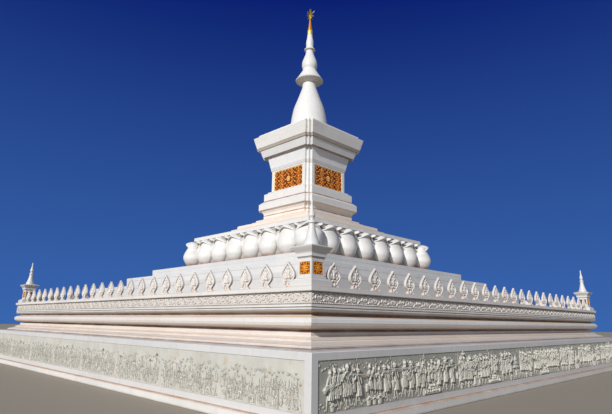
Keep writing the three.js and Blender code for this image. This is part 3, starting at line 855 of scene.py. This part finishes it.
# Corner stupas
# A small stupa of white marble on each corner of the terrace: a stepped foot, a shrine box,
# a flared cap with pointed corners, and a turned bell and spire dowelled on top.
# The underside colour is painted shade, and the dark line at 2.705 under the cap's fillet is painted
# shadow.
corner_marble = honed_marble("corner_stupa_marble", "#E4E3E0", "#D2D2D2", 3.0, joint=0.0, streaks=0.2,
                             underside_shade="#B4B2AE",
                             seams=[(2.200, 0.012, "#A89A90", 0.8), (2.337, 0.012, "#C4B4A8", 0.8),
                                    (2.705, 0.008, "#7A4E30", 1.0)])
WINDOW_HALF = 0.128
WINDOW_LOW = 2.412
WINDOW_HIGH = 2.632


def rounded(points, steps):
    """Draws a smooth curve through the points of a profile."""
    curve = []
    ends = [points[0]] + list(points) + [points[-1]]
    for i in range(len(points) - 1):
        before, start, stop, after = (Vector(ends[i + k]) for k in range(4))
        square = 2 * before - 5 * start + 4 * stop - after
        cube = 3 * start - before - 3 * stop + after
        for k in range(steps):
            t = k / steps
            curve.append(0.5 * (2 * start + (stop - before) * t + square * t * t + cube * t ** 3))
    curve.append(Vector(points[-1]))
    return curve


def turned(profile, steps):
    """Turns a piece on the vertical axis from its (radius, z) profile, bottom to top."""
    mesh = bmesh.new()
    verts = [mesh.verts.new((max(radius, 0.0), 0, z)) for radius, z in profile]
    edges = [mesh.edges.new(pair) for pair in zip(verts, verts[1:])]
    bmesh.ops.spin(mesh, geom=verts + edges, cent=(0, 0, 0), axis=(0, 0, 1), dvec=(0, 0, 0),
                   angle=2 * math.pi, steps=steps, use_merge=True)
    bmesh.ops.remove_doubles(mesh, verts=mesh.verts, dist=0.0005)
    bmesh.ops.recalc_face_normals(mesh, faces=mesh.faces)
    return mesh


def square_course(profile):
    """Builds a square moulded course from its (half width, z) profile, bottom to top: a turning in
    four steps, closed at both ends and set with its sides square to the axes."""
    mesh = turned([(half * math.sqrt(2), z) for half, z in profile], 4)
    bmesh.ops.holes_fill(mesh, edges=mesh.edges, sides=4)
    bmesh.ops.recalc_face_normals(mesh, faces=mesh.faces)
    turn(mesh, math.pi / 4)
    return mesh


corners = {}
for corner in ("front_left", "front_right", "back_right", "back_left"):
    low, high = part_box(f"corner_{corner}_shrine")
    corners[corner] = ((low.x + high.x) / 2, (low.y + high.y) / 2, 0)
shrine_low, shrine_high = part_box("corner_front_right_shrine")
shrine_half = (shrine_high.x - shrine_low.x) / 2
window_middle = (WINDOW_LOW + WINDOW_HIGH) / 2
foot_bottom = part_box("corner_front_right_foot")[0].z
cap_bottom, spire_top = (end.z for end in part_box("corner_front_right_spire"))
foot_profile = [(0.250, foot_bottom), (0.257, foot_bottom + 0.006), (0.257, 2.306), (0.251, 2.312),
                (0.226, 2.314), (0.222, 2.318), (0.222, 2.330), (0.218, 2.334), (0.190, 2.336),
                (0.186, 2.340), (0.186, shrine_low.z - 0.0003)]
shrine_profile = [(shrine_half - 0.004, shrine_low.z), (shrine_half, shrine_low.z + 0.004),
                  (shrine_half, WINDOW_LOW), (shrine_half, WINDOW_HIGH),
                  (shrine_half, shrine_high.z - 0.004), (shrine_half - 0.004, shrine_high.z)]
cap_profile = [(0.168, cap_bottom), (0.172, cap_bottom + 0.004), (0.172, 2.715), (0.188, 2.719),
               (0.192, 2.723), (0.192, 2.766), (0.197, 2.788), (0.212, 2.808), (0.238, 2.838),
               (0.258, 2.864), (0.272, 2.884), (0.275, 2.890), (0.275, 2.898), (0.270, 2.902),
               (0.238, 2.908), (0.205, 2.916), (0.150, 2.938)]
small_base = [(0.0, 2.925), (0.144, 2.925)]
small_bell = rounded([(0.147, 2.940), (0.140, 2.985), (0.118, 3.040), (0.100, 3.095), (0.086, 3.150),
                      (0.072, 3.215), (0.063, 3.280), (0.058, 3.325)], 3)
small_ring = [(0.064, 3.334), (0.077, 3.343), (0.079, 3.352), (0.076, 3.362)]
small_bulb = rounded([(0.046, 3.392), (0.041, 3.415), (0.047, 3.445), (0.059, 3.466), (0.062, 3.482),
                      (0.060, 3.500), (0.050, 3.535), (0.036, 3.590), (0.025, 3.640), (0.020, 3.700)], 2)
small_tip = [(0.026, 3.724), (0.028, 3.735), (0.024, 3.750), (0.016, 3.765), (0.010, 3.792),
             (0.0, spire_top)]
for corner, middle in corners.items():
    foot = square_course(foot_profile)

    shrine = square_course(shrine_profile)
    walls = [face for face in shrine.faces if abs(face.calc_center_median().z - window_middle) < 0.01]
    for wall in walls:
        bmesh.ops.inset_region(shrine, faces=[wall], thickness=0.001, depth=0.0)
        across = Vector((-wall.normal.y, wall.normal.x, 0))
        centre = wall.calc_center_median()
        for vert in wall.verts:
            offset = vert.co - centre
            reach = math.copysign(WINDOW_HALF, offset.dot(across))
            vert.co = centre + across * reach + Vector((0, 0, offset.z))
        bmesh.ops.inset_region(shrine, faces=[wall], thickness=0.001, depth=-0.016)

    spire = square_course(cap_profile)
    join(spire, turned(small_base + small_bell + small_ring + small_bulb + small_tip, 28))

    for part, mesh in (("foot", foot), ("shrine", shrine), ("spire", spire)):
        name = f"corner_{corner}_{part}"
        shift(mesh, *middle)
        set_piece(name + "_stone", mesh, corner_marble, [name])


# Gilded shrine panels
# A carved wooden panel covered in gold leaf fills the window on each side of the corner shrines:
# a flower in two rings of petals, with a leaf in each corner and a fillet round it.
PANEL_PLAY = 0.004


def gilded(name, low, high, tone, deep):
    """Gold leaf over carved and lacquered wood: bright on the raised carving, worn to the brown
    lacquer in the hollows. Low and high are distances from the axis."""
    finish, tree, shader, place, xyz = new_finish(name)
    out = add(tree, "Math", off_axis(tree, xyz), operation="MAXIMUM")
    raised = add(tree, "MapRange", {"Value": out, "From Min": low, "From Max": high})
    # The leaf is worn through in patches about 4 cm across.
    worn = add(tree, "TexNoise", {"Vector": place, "Scale": 22.0, "Detail": 4.0, "Roughness": 0.6})
    worn = add(tree, "MapRange", {"Value": worn, "From Min": 0.62, "From Max": 0.72, "To Min": 1.0,
                                  "To Max": 0.35})
    leaf = add(tree, "Math", [raised, worn], operation="MULTIPLY")
    # The highest points are painted pale yellow: a painted highlight.
    painted_highlight = add(tree, "MapRange", {"Value": out, "From Min": high + 0.006, "From Max": high + 0.016})
    painted_highlight = add(tree, "Math", [painted_highlight, worn], operation="MULTIPLY")
    colour = deep
    for mask, over in ((leaf, tone), (painted_highlight, "#FFDC8C")):
        colour = add(tree, "Mix", {0: mask, 6: colour, 7: over}, out=2, data_type="RGBA")
    metal = add(tree, "MapRange", {"Value": leaf, "To Max": 0.15})
    # The leaf is laid by hand and lies uneven, over about 3 cm.
    uneven = add(tree, "TexNoise", {"Vector": place, "Scale": 35.0, "Detail": 3.0})
    bump = add(tree, "Bump", {"Strength": 0.3, "Distance": 0.003, "Height": uneven})
    fill(tree, shader, {"Base Color": colour, "Metallic": metal, "Roughness": 0.33, "IOR": 1.5,
                        "Normal": bump})
    return finish


shrine_face = corners["front_right"][0] + shrine_half
shrine_gold = gilded("shrine_gold_leaf", shrine_face - 0.010, shrine_face, "#F59C22", "#6A2E08")
for corner, middle in corners.items():
    gilding = bmesh.new()
    for heading in SIDES.values():
        panel = block((0, 0.012, window_middle),
                      (2 * WINDOW_HALF - PANEL_PLAY, 0.006, WINDOW_HIGH - WINDOW_LOW - PANEL_PLAY))
        for leaf in range(8):
            for reach, wide, tall, deep, out, lean in ((0.044, 0.017, 0.034, 0.014, -0.008, 0.0),
                                                       (0.082, 0.019, 0.026, 0.012, -0.009, math.pi / 8)):
                lean += leaf * math.pi / 4
                up = window_middle + math.cos(lean) * reach
                boss(panel, math.sin(lean) * reach, up, wide, tall, deep, lean, out, 6)
        boss(panel, 0, window_middle, 0.022, 0.022, 0.018, 0.0, -0.008)
        for hand in (-1, 1):
            for lift in (-1, 1):
                up = window_middle + lift * 0.092
                boss(panel, hand * 0.092, up, 0.020, 0.026, 0.012, hand * lift * 0.8, -0.009, 6)
                up = window_middle + lift * 0.101
                limb(panel, (hand * 0.108, up), (0, up), 0.006, 0.006, 1.0, -0.008, 4)
            limb(panel, (hand * 0.108, window_middle - 0.104), (hand * 0.108, window_middle + 0.104),
                 0.007, 0.007, 1.0, -0.007, 4)
        shift(panel, 0, -shrine_half, 0)
        turn(panel, heading)
        join(gilding, panel)
    shift(gilding, *middle)
    set_piece(f"corner_{corner}_gilding", gilding, shrine_gold, smooth=45)


# Tiers
# Three plain square tiers of white marble slabs, each with a slightly proud course at its top.
# They are mortared round the core, and thin stains mark the joint at the foot of each.
for tier, tone, cloud, slab_length, stain_height, stain_spread in (
        ("tier_1", "#DDDCDA", "#CECECF", 1.8, 2.215, 0.04),
        ("tier_2", "#DFDEDC", "#D0D0D1", 1.7, 2.79, 0.03),
        ("tier_3", "#DFDEDC", "#D0D0D1", 1.5, 3.22, 0.03)):
    tier_marble = honed_marble(f"honed_{tier}_marble", tone, cloud, slab_length, joint=0.2, streaks=0.14,
                               underside_shade="#D9D7D3", seams=[(stain_height, stain_spread, "#C9B6A6", 0.7)])
    lay_course(tier, tier_marble, arris=0.006)


# Lotus ring
# A square ring of stone petals under the platform: egg-shaped buds, with a hood that curls
# outwards over each and the tips of a second row between. Water stains their feet brown.
# The hood undersides and the gaps between the petals are painted darker: painted shade.
lotus_marble = honed_marble("carved_lotus_marble", "#EFEDE9", "#E2E0DD", 30.0, joint=0.0, roughness=0.5,
                            streaks=0.2, underside_shade="#8E867C", recess_dust_and_shade=(3.26, 3.36, "#8A8178", 0.65),
                            seams=[(3.73, 0.17, "#9E5828", 1.0)])
LOTUS_HALF = 3.250
PETALS = 6
PETAL_PITCH = 0.940
# Parts of a petal's height: where its shoulders begin to widen, and where its hood springs.
SHOULDER = 0.48
SPRING = 0.868


def petal(size, depth, foot, top, droop, hood):
    """A petal with its back on the ring at y = 0: a bud turned from a profile and kept broad at
    its shoulders, with a thin hood that points towards -Y and hangs low at both sides."""
    tall = top - foot
    body = [(0.42, 0.0), (0.50, 0.08), (0.63, 0.16), (0.84, 0.28), (0.97, 0.38), (1.0, 0.46), (0.95, 0.54),
            (0.84, 0.62), (0.72, 0.69), (0.62, 0.76), (0.56, 0.82), (0.54, 0.865)]
    lip = [(0.55, 0.872), (0.60, 0.885), (0.64, 0.90), (0.655, 0.915), (0.65, 0.93), (0.59, 0.95),
           (0.45, 0.975), (0.25, 0.993), (0.0, 1.0)]
    profile = [(0.0, 0.0)] + rounded(body, 2) + [Vector(point) for point in lip]
    mesh = turned([(radius * size, foot + z * tall) for radius, z in profile], 32)
    for vert in mesh.verts:
        up = (vert.co.z - foot) / tall
        reach = math.hypot(vert.co.x, vert.co.y)
        if up > SPRING and reach > 0.001:
            front = max(0.0, -vert.co.y / reach)
            aside = abs(vert.co.x) / reach
            spread = min(1.0, (up - SPRING) / 0.02) * min(1.0, reach / (0.6 * size))
            vert.co.z -= spread * droop * aside ** 1.2
            vert.co.y -= hood * spread * front ** 4
        shoulder = min(1.0, max(0.0, (up - SHOULDER) / 0.30))
        vert.co.x *= 1 + 0.55 * shoulder * shoulder * (3 - 2 * shoulder)
    bmesh.ops.scale(mesh, vec=(1, depth, 1), verts=mesh.verts)
    return mesh


lotus_low, lotus_high = (end.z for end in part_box("lotus_ring"))
petal_top = lotus_high - 0.002
lotus = square_course([(LOTUS_HALF, lotus_low), (LOTUS_HALF, lotus_high)])
for heading in SIDES.values():
    ring_side = bmesh.new()
    for i in range(PETALS):
        bud = petal(0.392, 0.88, lotus_low, petal_top, 0.17, 0.06)
        shift(bud, (i - (PETALS - 1) / 2) * PETAL_PITCH, -LOTUS_HALF, 0)
        join(ring_side, bud)
    for i in range(PETALS + 1):
        bud = petal(0.15, 0.95, lotus_low + 0.40, petal_top - 0.012, 0.10, 0.16)
        shift(bud, (i - PETALS / 2) * PETAL_PITCH, -LOTUS_HALF + 0.03, 0)
        join(ring_side, bud)
    bud = petal(0.43, 1.0, lotus_low, petal_top, 0.24, 0.08)
    turn(bud, math.pi / 4)
    shift(bud, LOTUS_HALF, -LOTUS_HALF, 0)
    join(ring_side, bud)
    turn(ring_side, heading)
    join(lotus, ring_side)
set_piece("lotus_ring_stone", lotus, lotus_marble, ["lotus_ring"], smooth=50)


# Platform
# A marble slab lies on the petals, and low weathered steps of cream marble lead up to the tower.
# Both are bedded in lime mortar, and the joints of the steps are stained tan.
# The slab's underside is painted a darker brown: painted shade.
slab_marble = honed_marble("honed_platform_marble", "#EDEBE8", "#DCDCDC", 1.64, joint=0.3, underside_shade="#8C8172",
                           seams=[(4.885, 0.02, "#D8C0A8", 0.7)])
lay_course("platform_slab", slab_marble, arris=0.006)
steps_marble = honed_marble("weathered_platform_marble", "#EFE6DC", "#E2D6C8", 1.2, joint=0.2,
                            seams=[(4.90, 0.03, "#B9977A", 0.8), (5.25, 0.04, "#D9B898", 0.8),
                                   (5.43, 0.04, "#D9B898", 0.8), (5.57, 0.03, "#C79A76", 0.8)])
lay_course("platform_steps", steps_marble, arris=0.006)


# Tower
# The tower is a square shaft on a moulded base, with each corner stepped back twice. Its marble
# slabs are cramped to the core, and the joints between courses are stained tan and brown. The dark
# lines under the mouldings, the neck's band and the cap are painted shadow, and the underside
# colours are painted shade.
# The dark line at 6.036, under the base's lower band, is painted shadow.
foot_marble = honed_marble("honed_tower_foot_marble", "#F2EEE8", "#E9E4DC", 1.45, joint=0.25,
                           underside_shade="#E0D8CE",
                           seams=[(5.69, 0.03, "#D8AE86", 0.8), (5.82, 0.036, "#A86830", 1.0),
                                  (6.036, 0.014, "#8C7A6C", 1.0)])
lay_course("tower_foot", foot_marble, arris=0.006)
# The line at 6.052 is painted shadow under the lower band, and the broad line at 6.422 is a rust stain
# darkened as painted shade in the joint.
tower_base_marble = honed_marble("honed_tower_base_marble", "#EDEBE8", "#DFDEDC", 1.45, joint=0.25,
                                 underside_shade="#DED6CC",
                                 seams=[(6.052, 0.012, "#A08E80", 0.9), (6.30, 0.014, "#C9C0B8", 0.6),
                                        (6.422, 0.046, "#8A4A1C", 1.0), (6.80, 0.014, "#B8A694", 0.7)])
lay_course("tower_base", tower_base_marble, arris=0.005)
shaft_marble = honed_marble("honed_shaft_marble", "#EDECEA", "#E0E0E0", 3.0, joint=0.2,
                            seams=[(6.840, 0.012, "#B09E8C", 0.8), (7.75, 0.012, "#B8ACA0", 0.7)])
lay_course("tower_shaft", shaft_marble, arris=0.004)
# The dark lines at 8.345 and 8.645, under the band and under the cap, are painted shadow, and the underside
# colour is painted shade.
neck_marble = honed_marble("honed_neck_marble", "#EEEFEF", "#E4E5E6", 1.5, joint=0.2, underside_shade="#9A9080",
                           seams=[(8.345, 0.020, "#6A5F4C", 1.0), (8.645, 0.014, "#8E8470", 0.8)])
lay_course("tower_neck", neck_marble, arris=0.004)
# The dark lines at 8.650 and 8.742, at the cap's foot and under its fascia, are painted shadow, and the
# underside colour is painted shade.
cap_marble = honed_marble("honed_cap_marble", "#F2F1EE", "#E6E4E0", 1.5, joint=0.22, streaks=0.2,
                          underside_shade="#A0907A",
                          seams=[(8.650, 0.020, "#6E5E46", 1.0), (8.742, 0.014, "#8A7458", 0.9),
                                 (9.21, 0.02, "#A09A8E", 0.5)])
lay_course("tower_cap", cap_marble, arris=0.005)


# Gold panels
# A wooden panel carved with foliage and covered in gold leaf is set in each side of the shaft.
# It has a plain raised frame, and the carving stands about 3 cm off a dark brown ground.
GOLD_FRAME = 0.032
GOLD_COLUMNS = 8
GOLD_ROWS = 4
GOLD_COILS = 7
FLOWER_REACH = 0.14


def scroll(mesh, x, z, size, start, hand):
    """A spiral stem that ends in a round flower, with small leaves along its outside."""
    points = []
    for i in range(GOLD_COILS + 1):
        angle = start - hand * i * 0.66
        reach = size * (1 - 0.085 * i)
        points.append((x + math.cos(angle) * reach, z + math.sin(angle) * reach))
    for i in range(GOLD_COILS):
        thick = size * (0.19 - 0.010 * i)
        limb(mesh, points[i], points[i + 1], thick, thick * 0.95, 0.9, 0.004, 5)
    boss(mesh, x, z, size * 0.24, size * 0.24, 0.026)
    for i in range(GOLD_COILS - 3):
        angle = start - hand * (i + 0.5) * 0.66
        lean = math.pi / 2 - angle + hand * 0.6
        boss(mesh, x + math.cos(angle) * size * 1.22, z + math.sin(angle) * size * 1.18,
             size * 0.14, size * 0.30, 0.018, lean, sides=6)


def foliage(mesh, middle, half_wide, half_tall):
    """Fills the panel with close rows of scrolls round a flower, with leaves in every gap."""
    pitch_x = 2 * half_wide / GOLD_COLUMNS
    pitch_z = 2 * half_tall / GOLD_ROWS
    for row in range(GOLD_ROWS):
        for column in range(GOLD_COLUMNS):
            x = -half_wide + pitch_x * (column + 0.5)
            z = middle - half_tall + pitch_z * (row + 0.5)
            hand = -1 if x < 0 else 1
            start = math.pi * (0.5 + (row + column) % 2) + hand * 0.6
            size = pitch_x * (0.42 + 0.06 * ((row * 3 + column * 5) % 3 - 1))
            if math.hypot(x, z - middle) > FLOWER_REACH:
                carve(mesh, scroll, x, z, size, start, hand * (-1) ** row)
    for row in range(GOLD_ROWS + 1):
        for column in range(GOLD_COLUMNS + 1):
            x = -half_wide + pitch_x * column
            z = middle - half_tall + pitch_z * row
            lean = 0.9 * (-1) ** (row + column)
            if math.hypot(x, z - middle) > FLOWER_REACH:
                carve(mesh, boss, x, z, pitch_x * 0.16, pitch_z * 0.36, 0.022, lean, 0.0, 6)
    carve(mesh, boss, 0, middle, 0.045, 0.045, 0.034, 0.0, 0.0, 12)
    for leaf in range(10):
        lean = leaf * math.pi / 5
        up = middle + math.cos(lean) * 0.085
        carve(mesh, boss, math.sin(lean) * 0.085, up, 0.024, 0.046, 0.026, lean)


gold_low, gold_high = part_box("gold_panel_front")
gold_face = -gold_low.y
gold_thickness = gold_face + gold_high.y
gold_half = gold_high.x
middle = (gold_high.z + gold_low.z) / 2
tall = gold_high.z - gold_low.z
gold_leaf = gilded("tower_gold_leaf", gold_face, gold_face + 0.007, "#F28E1E", "#6E340E")
carving = bmesh.new()
foliage(carving, middle, gold_half - 2 * GOLD_FRAME, tall / 2 - 2 * GOLD_FRAME)
for side, heading in SIDES.items():
    panel = block((0, gold_thickness / 2, middle), (2 * gold_half, gold_thickness, tall))
    for up in (gold_low.z + GOLD_FRAME / 2, gold_high.z - GOLD_FRAME / 2):
        join(panel, block((0, -0.008, up), (2 * gold_half, 0.026, GOLD_FRAME), 0.004))
    for across in (-gold_half + GOLD_FRAME / 2, gold_half - GOLD_FRAME / 2):
        join(panel, block((across, -0.010, middle), (GOLD_FRAME, 0.026, tall - 0.002), 0.004))
    join(panel, carving.copy())
    shift(panel, 0, -gold_face, 0)
    turn(panel, heading)
    set_piece(f"gold_panel_{side}_leaf", panel, gold_leaf, [f"gold_panel_{side}"], smooth=45)
carving.free()


# Bell
# The dome over the tower: white marble blocks bedded in lime mortar and rubbed to one smooth
# round, with a short upright base.
bell_marble = honed_marble("smooth_bell_marble", "#F0EFEC", "#E6E4E1", 30.0, course=30.0, joint=0.0,
                           roughness=0.38, streaks=0.06)
bell_low, bell_high = (end.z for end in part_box("bell"))
bell_base = [(0.0, bell_low), (0.842, bell_low), (0.850, bell_low + 0.008), (0.850, 9.524), (0.842, 9.536)]
bell_dome = rounded([(0.824, 9.568), (0.804, 9.850), (0.775, 10.070), (0.751, 10.260), (0.715, 10.450),
                     (0.677, 10.640), (0.615, 10.830), (0.541, 11.020), (0.475, 11.210), (0.408, 11.400),
                     (0.345, 11.580), (0.312, 11.700), (0.302, 11.800)], 3)
bell = turned(bell_base + bell_dome + [(0.302, bell_high), (0.0, bell_high)], 96)
set_piece("bell_stone", bell, bell_marble, ["bell"], smooth=30)


# Spire
# White turned stone on the bell: a wide dish, two bulbs and a narrow ring, stacked on a rod.
# The undersides of the dish and the ring are painted grey-brown: painted shade.
spire_marble = honed_marble("turned_spire_marble", "#F0EFED", "#E4E3E1", 30.0, course=30.0, joint=0.0,
                            roughness=0.4, streaks=0.1, underside_shade="#B5AB9A")
spire_low, spire_high = (end.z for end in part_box("spire"))
dish = [(0.0, spire_low), (0.305, spire_low), (0.320, 11.900), (0.400, 11.930), (0.510, 11.968),
        (0.586, 12.002), (0.608, 12.024), (0.612, 12.040), (0.604, 12.056), (0.575, 12.090)]
bulb = rounded([(0.520, 12.170), (0.460, 12.270), (0.400, 12.370), (0.345, 12.460), (0.300, 12.545),
                (0.300, 12.600), (0.327, 12.690), (0.341, 12.790), (0.338, 12.890), (0.322, 12.980),
                (0.292, 13.070), (0.255, 13.170), (0.217, 13.270), (0.184, 13.370), (0.166, 13.470)], 3)
ring = [(0.180, 13.515), (0.238, 13.545), (0.251, 13.562), (0.252, 13.580), (0.240, 13.600),
        (0.190, 13.645)]
upper_bulb = rounded([(0.166, 13.690), (0.165, 13.760), (0.170, 13.860), (0.172, 13.940), (0.150, 14.080),
                      (0.126, 14.200), (0.118, 14.290)], 3)
spire = turned(dish + bulb + ring + upper_bulb + [(0.116, spire_high), (0.0, spire_high)], 64)
set_piece("spire_stone", spire, spire_marble, ["spire"], smooth=32)


# Finial
# A gilded metal finial pinned in the top of the spire: a pale ring, a slender cone and a stem
# with a flower of thin pointed leaves, like a flame, with its longest leaf upright.
finial_gold, gold_tree, gold_shader, place, xyz = new_finish("finial_gilding")
# The flower of leaves is painted a darker olive gold: painted shade.
ring_part = add(gold_tree, "Math", [xyz[2], 14.57], operation="LESS_THAN")
flower_shade = add(gold_tree, "MapRange", {"Value": xyz[2], "From Min": 15.0, "From Max": 15.15})
colour = "#E59B26"
for mask, over in ((ring_part, "#F4E27A"), (flower_shade, "#A08A2C")):
    colour = add(gold_tree, "Mix", {0: mask, 6: colour, 7: over}, out=2, data_type="RGBA")
fill(gold_tree, gold_shader, {"Base Color": colour, "Metallic": 0.6, "Roughness": 0.4})
FLOWER_HEIGHT = 15.36
# Each leaf of the flower by its angle from level, in degrees, and its length.
LEAVES = ((90, 0.385), (32, 0.30), (-28, 0.24), (-75, 0.20), (-115, 0.22), (-152, 0.25), (170, 0.20),
          (130, 0.22))
finial_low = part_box("finial")[0].z
finial_ring = [(0.0, finial_low), (0.110, finial_low), (0.114, finial_low + 0.02), (0.114, 14.540),
               (0.110, 14.560)]
finial_cone = rounded([(0.104, 14.580), (0.092, 14.680), (0.074, 14.800), (0.052, 14.960), (0.040, 15.100),
                       (0.036, 15.240)], 3)
finial_knob = [(0.052, 15.330), (0.050, 15.380), (0.030, 15.420), (0.0, 15.430)]
finial = turned(finial_ring + finial_cone + finial_knob, 32)
for plane in (0.0, math.pi / 2):
    for angle, length in LEAVES:
        leaf = bmesh.new()
        boss(leaf, 0, length * 0.5, length * 0.16, length * 0.5, 0.012, sides=10)
        for vert in leaf.verts:
            along = vert.co.z / length
            vert.co.x *= 1.25 - along * 0.9
            vert.co.y += 0.04 * along * along
        turn(leaf, math.radians(90 - angle), "Y")
        turn(leaf, plane)
        shift(leaf, 0, 0, FLOWER_HEIGHT)
        join(finial, leaf)
set_piece("finial_gold", finial, finial_gold, ["finial"], smooth=40)


# Ground, light and camera
# A plain pale floor under an even sky, with one soft key light from the left. The camera stands
# at eye height before the front right corner.
FLOOR_HALF = 150.0
floor_mesh = bmesh.new()
bmesh.ops.create_grid(floor_mesh, x_segments=1, y_segments=1, size=FLOOR_HALF)
floor_data = stored(floor_mesh, "floor")
floor_finish = bpy.data.materials.new("pale_matt_floor")
floor_finish.use_nodes = True
floor_tree = floor_finish.node_tree
fill(floor_tree, floor_tree.nodes["Principled BSDF"], {"Base Color": "#A19789", "Roughness": 0.9})
floor_data.materials.append(floor_finish)
floor = bpy.data.objects.new("floor", floor_data)
bpy.context.scene.collection.objects.link(floor)

key_data = bpy.data.lights.new("key_light", "SUN")
key_data.energy = 3.4
key_data.angle = math.radians(1.5)
key_data.color = (1.0, 0.975, 0.94)
key = bpy.data.objects.new("key_light", key_data)
towards_key = Vector((0.28, -0.87, 0.41))
key.matrix_world = towards_key.to_track_quat("Z", "Y").to_matrix().to_4x4()
bpy.context.scene.collection.objects.link(key)

world = bpy.data.worlds.new("pale_sky")
world.use_nodes = True
sky = world.node_tree
# The backdrop is deep blue, darker towards the top. The soft light that it gives is nearly white.
up = add(sky, "SeparateXYZ", [add(sky, "TexCoord", out="Generated")], out=2)
up = add(sky, "MapRange", {"Value": up, "From Max": 0.6})
backdrop = add(sky, "Mix", {0: up, 6: "#3A66AE", 7: "#0A2070"}, out=2, data_type="RGBA")
seen = add(sky, "LightPath", out="Is Camera Ray")
backdrop = add(sky, "Mix", {0: seen, 6: "#6A7488", 7: backdrop}, out=2, data_type="RGBA")
fill(sky, sky.nodes["Background"], {"Color": backdrop, "Strength": 1.0})
bpy.context.scene.world = world
bpy.context.scene.view_settings.view_transform = "Standard"

# The eye stands 1.6 m up, about 7.4 m out from the near corner, and looks up along the diagonal.
EYE = (13.786, -13.976, 1.6)
HEADING = math.radians(134.828)
PITCH = math.radians(13.422)
ROLL = math.radians(0.778)
camera_data = bpy.data.cameras.new("camera")
camera_data.sensor_width = 36.0
camera_data.lens = 28.43
camera = bpy.data.objects.new("camera", camera_data)
camera.matrix_world = (Matrix.Translation(EYE) @ Matrix.Rotation(HEADING - math.pi / 2, 4, "Z")
                       @ Matrix.Rotation(math.pi / 2 + PITCH, 4, "X") @ Matrix.Rotation(ROLL, 4, "Z"))
bpy.context.scene.collection.objects.link(camera)
bpy.context.scene.camera = camera
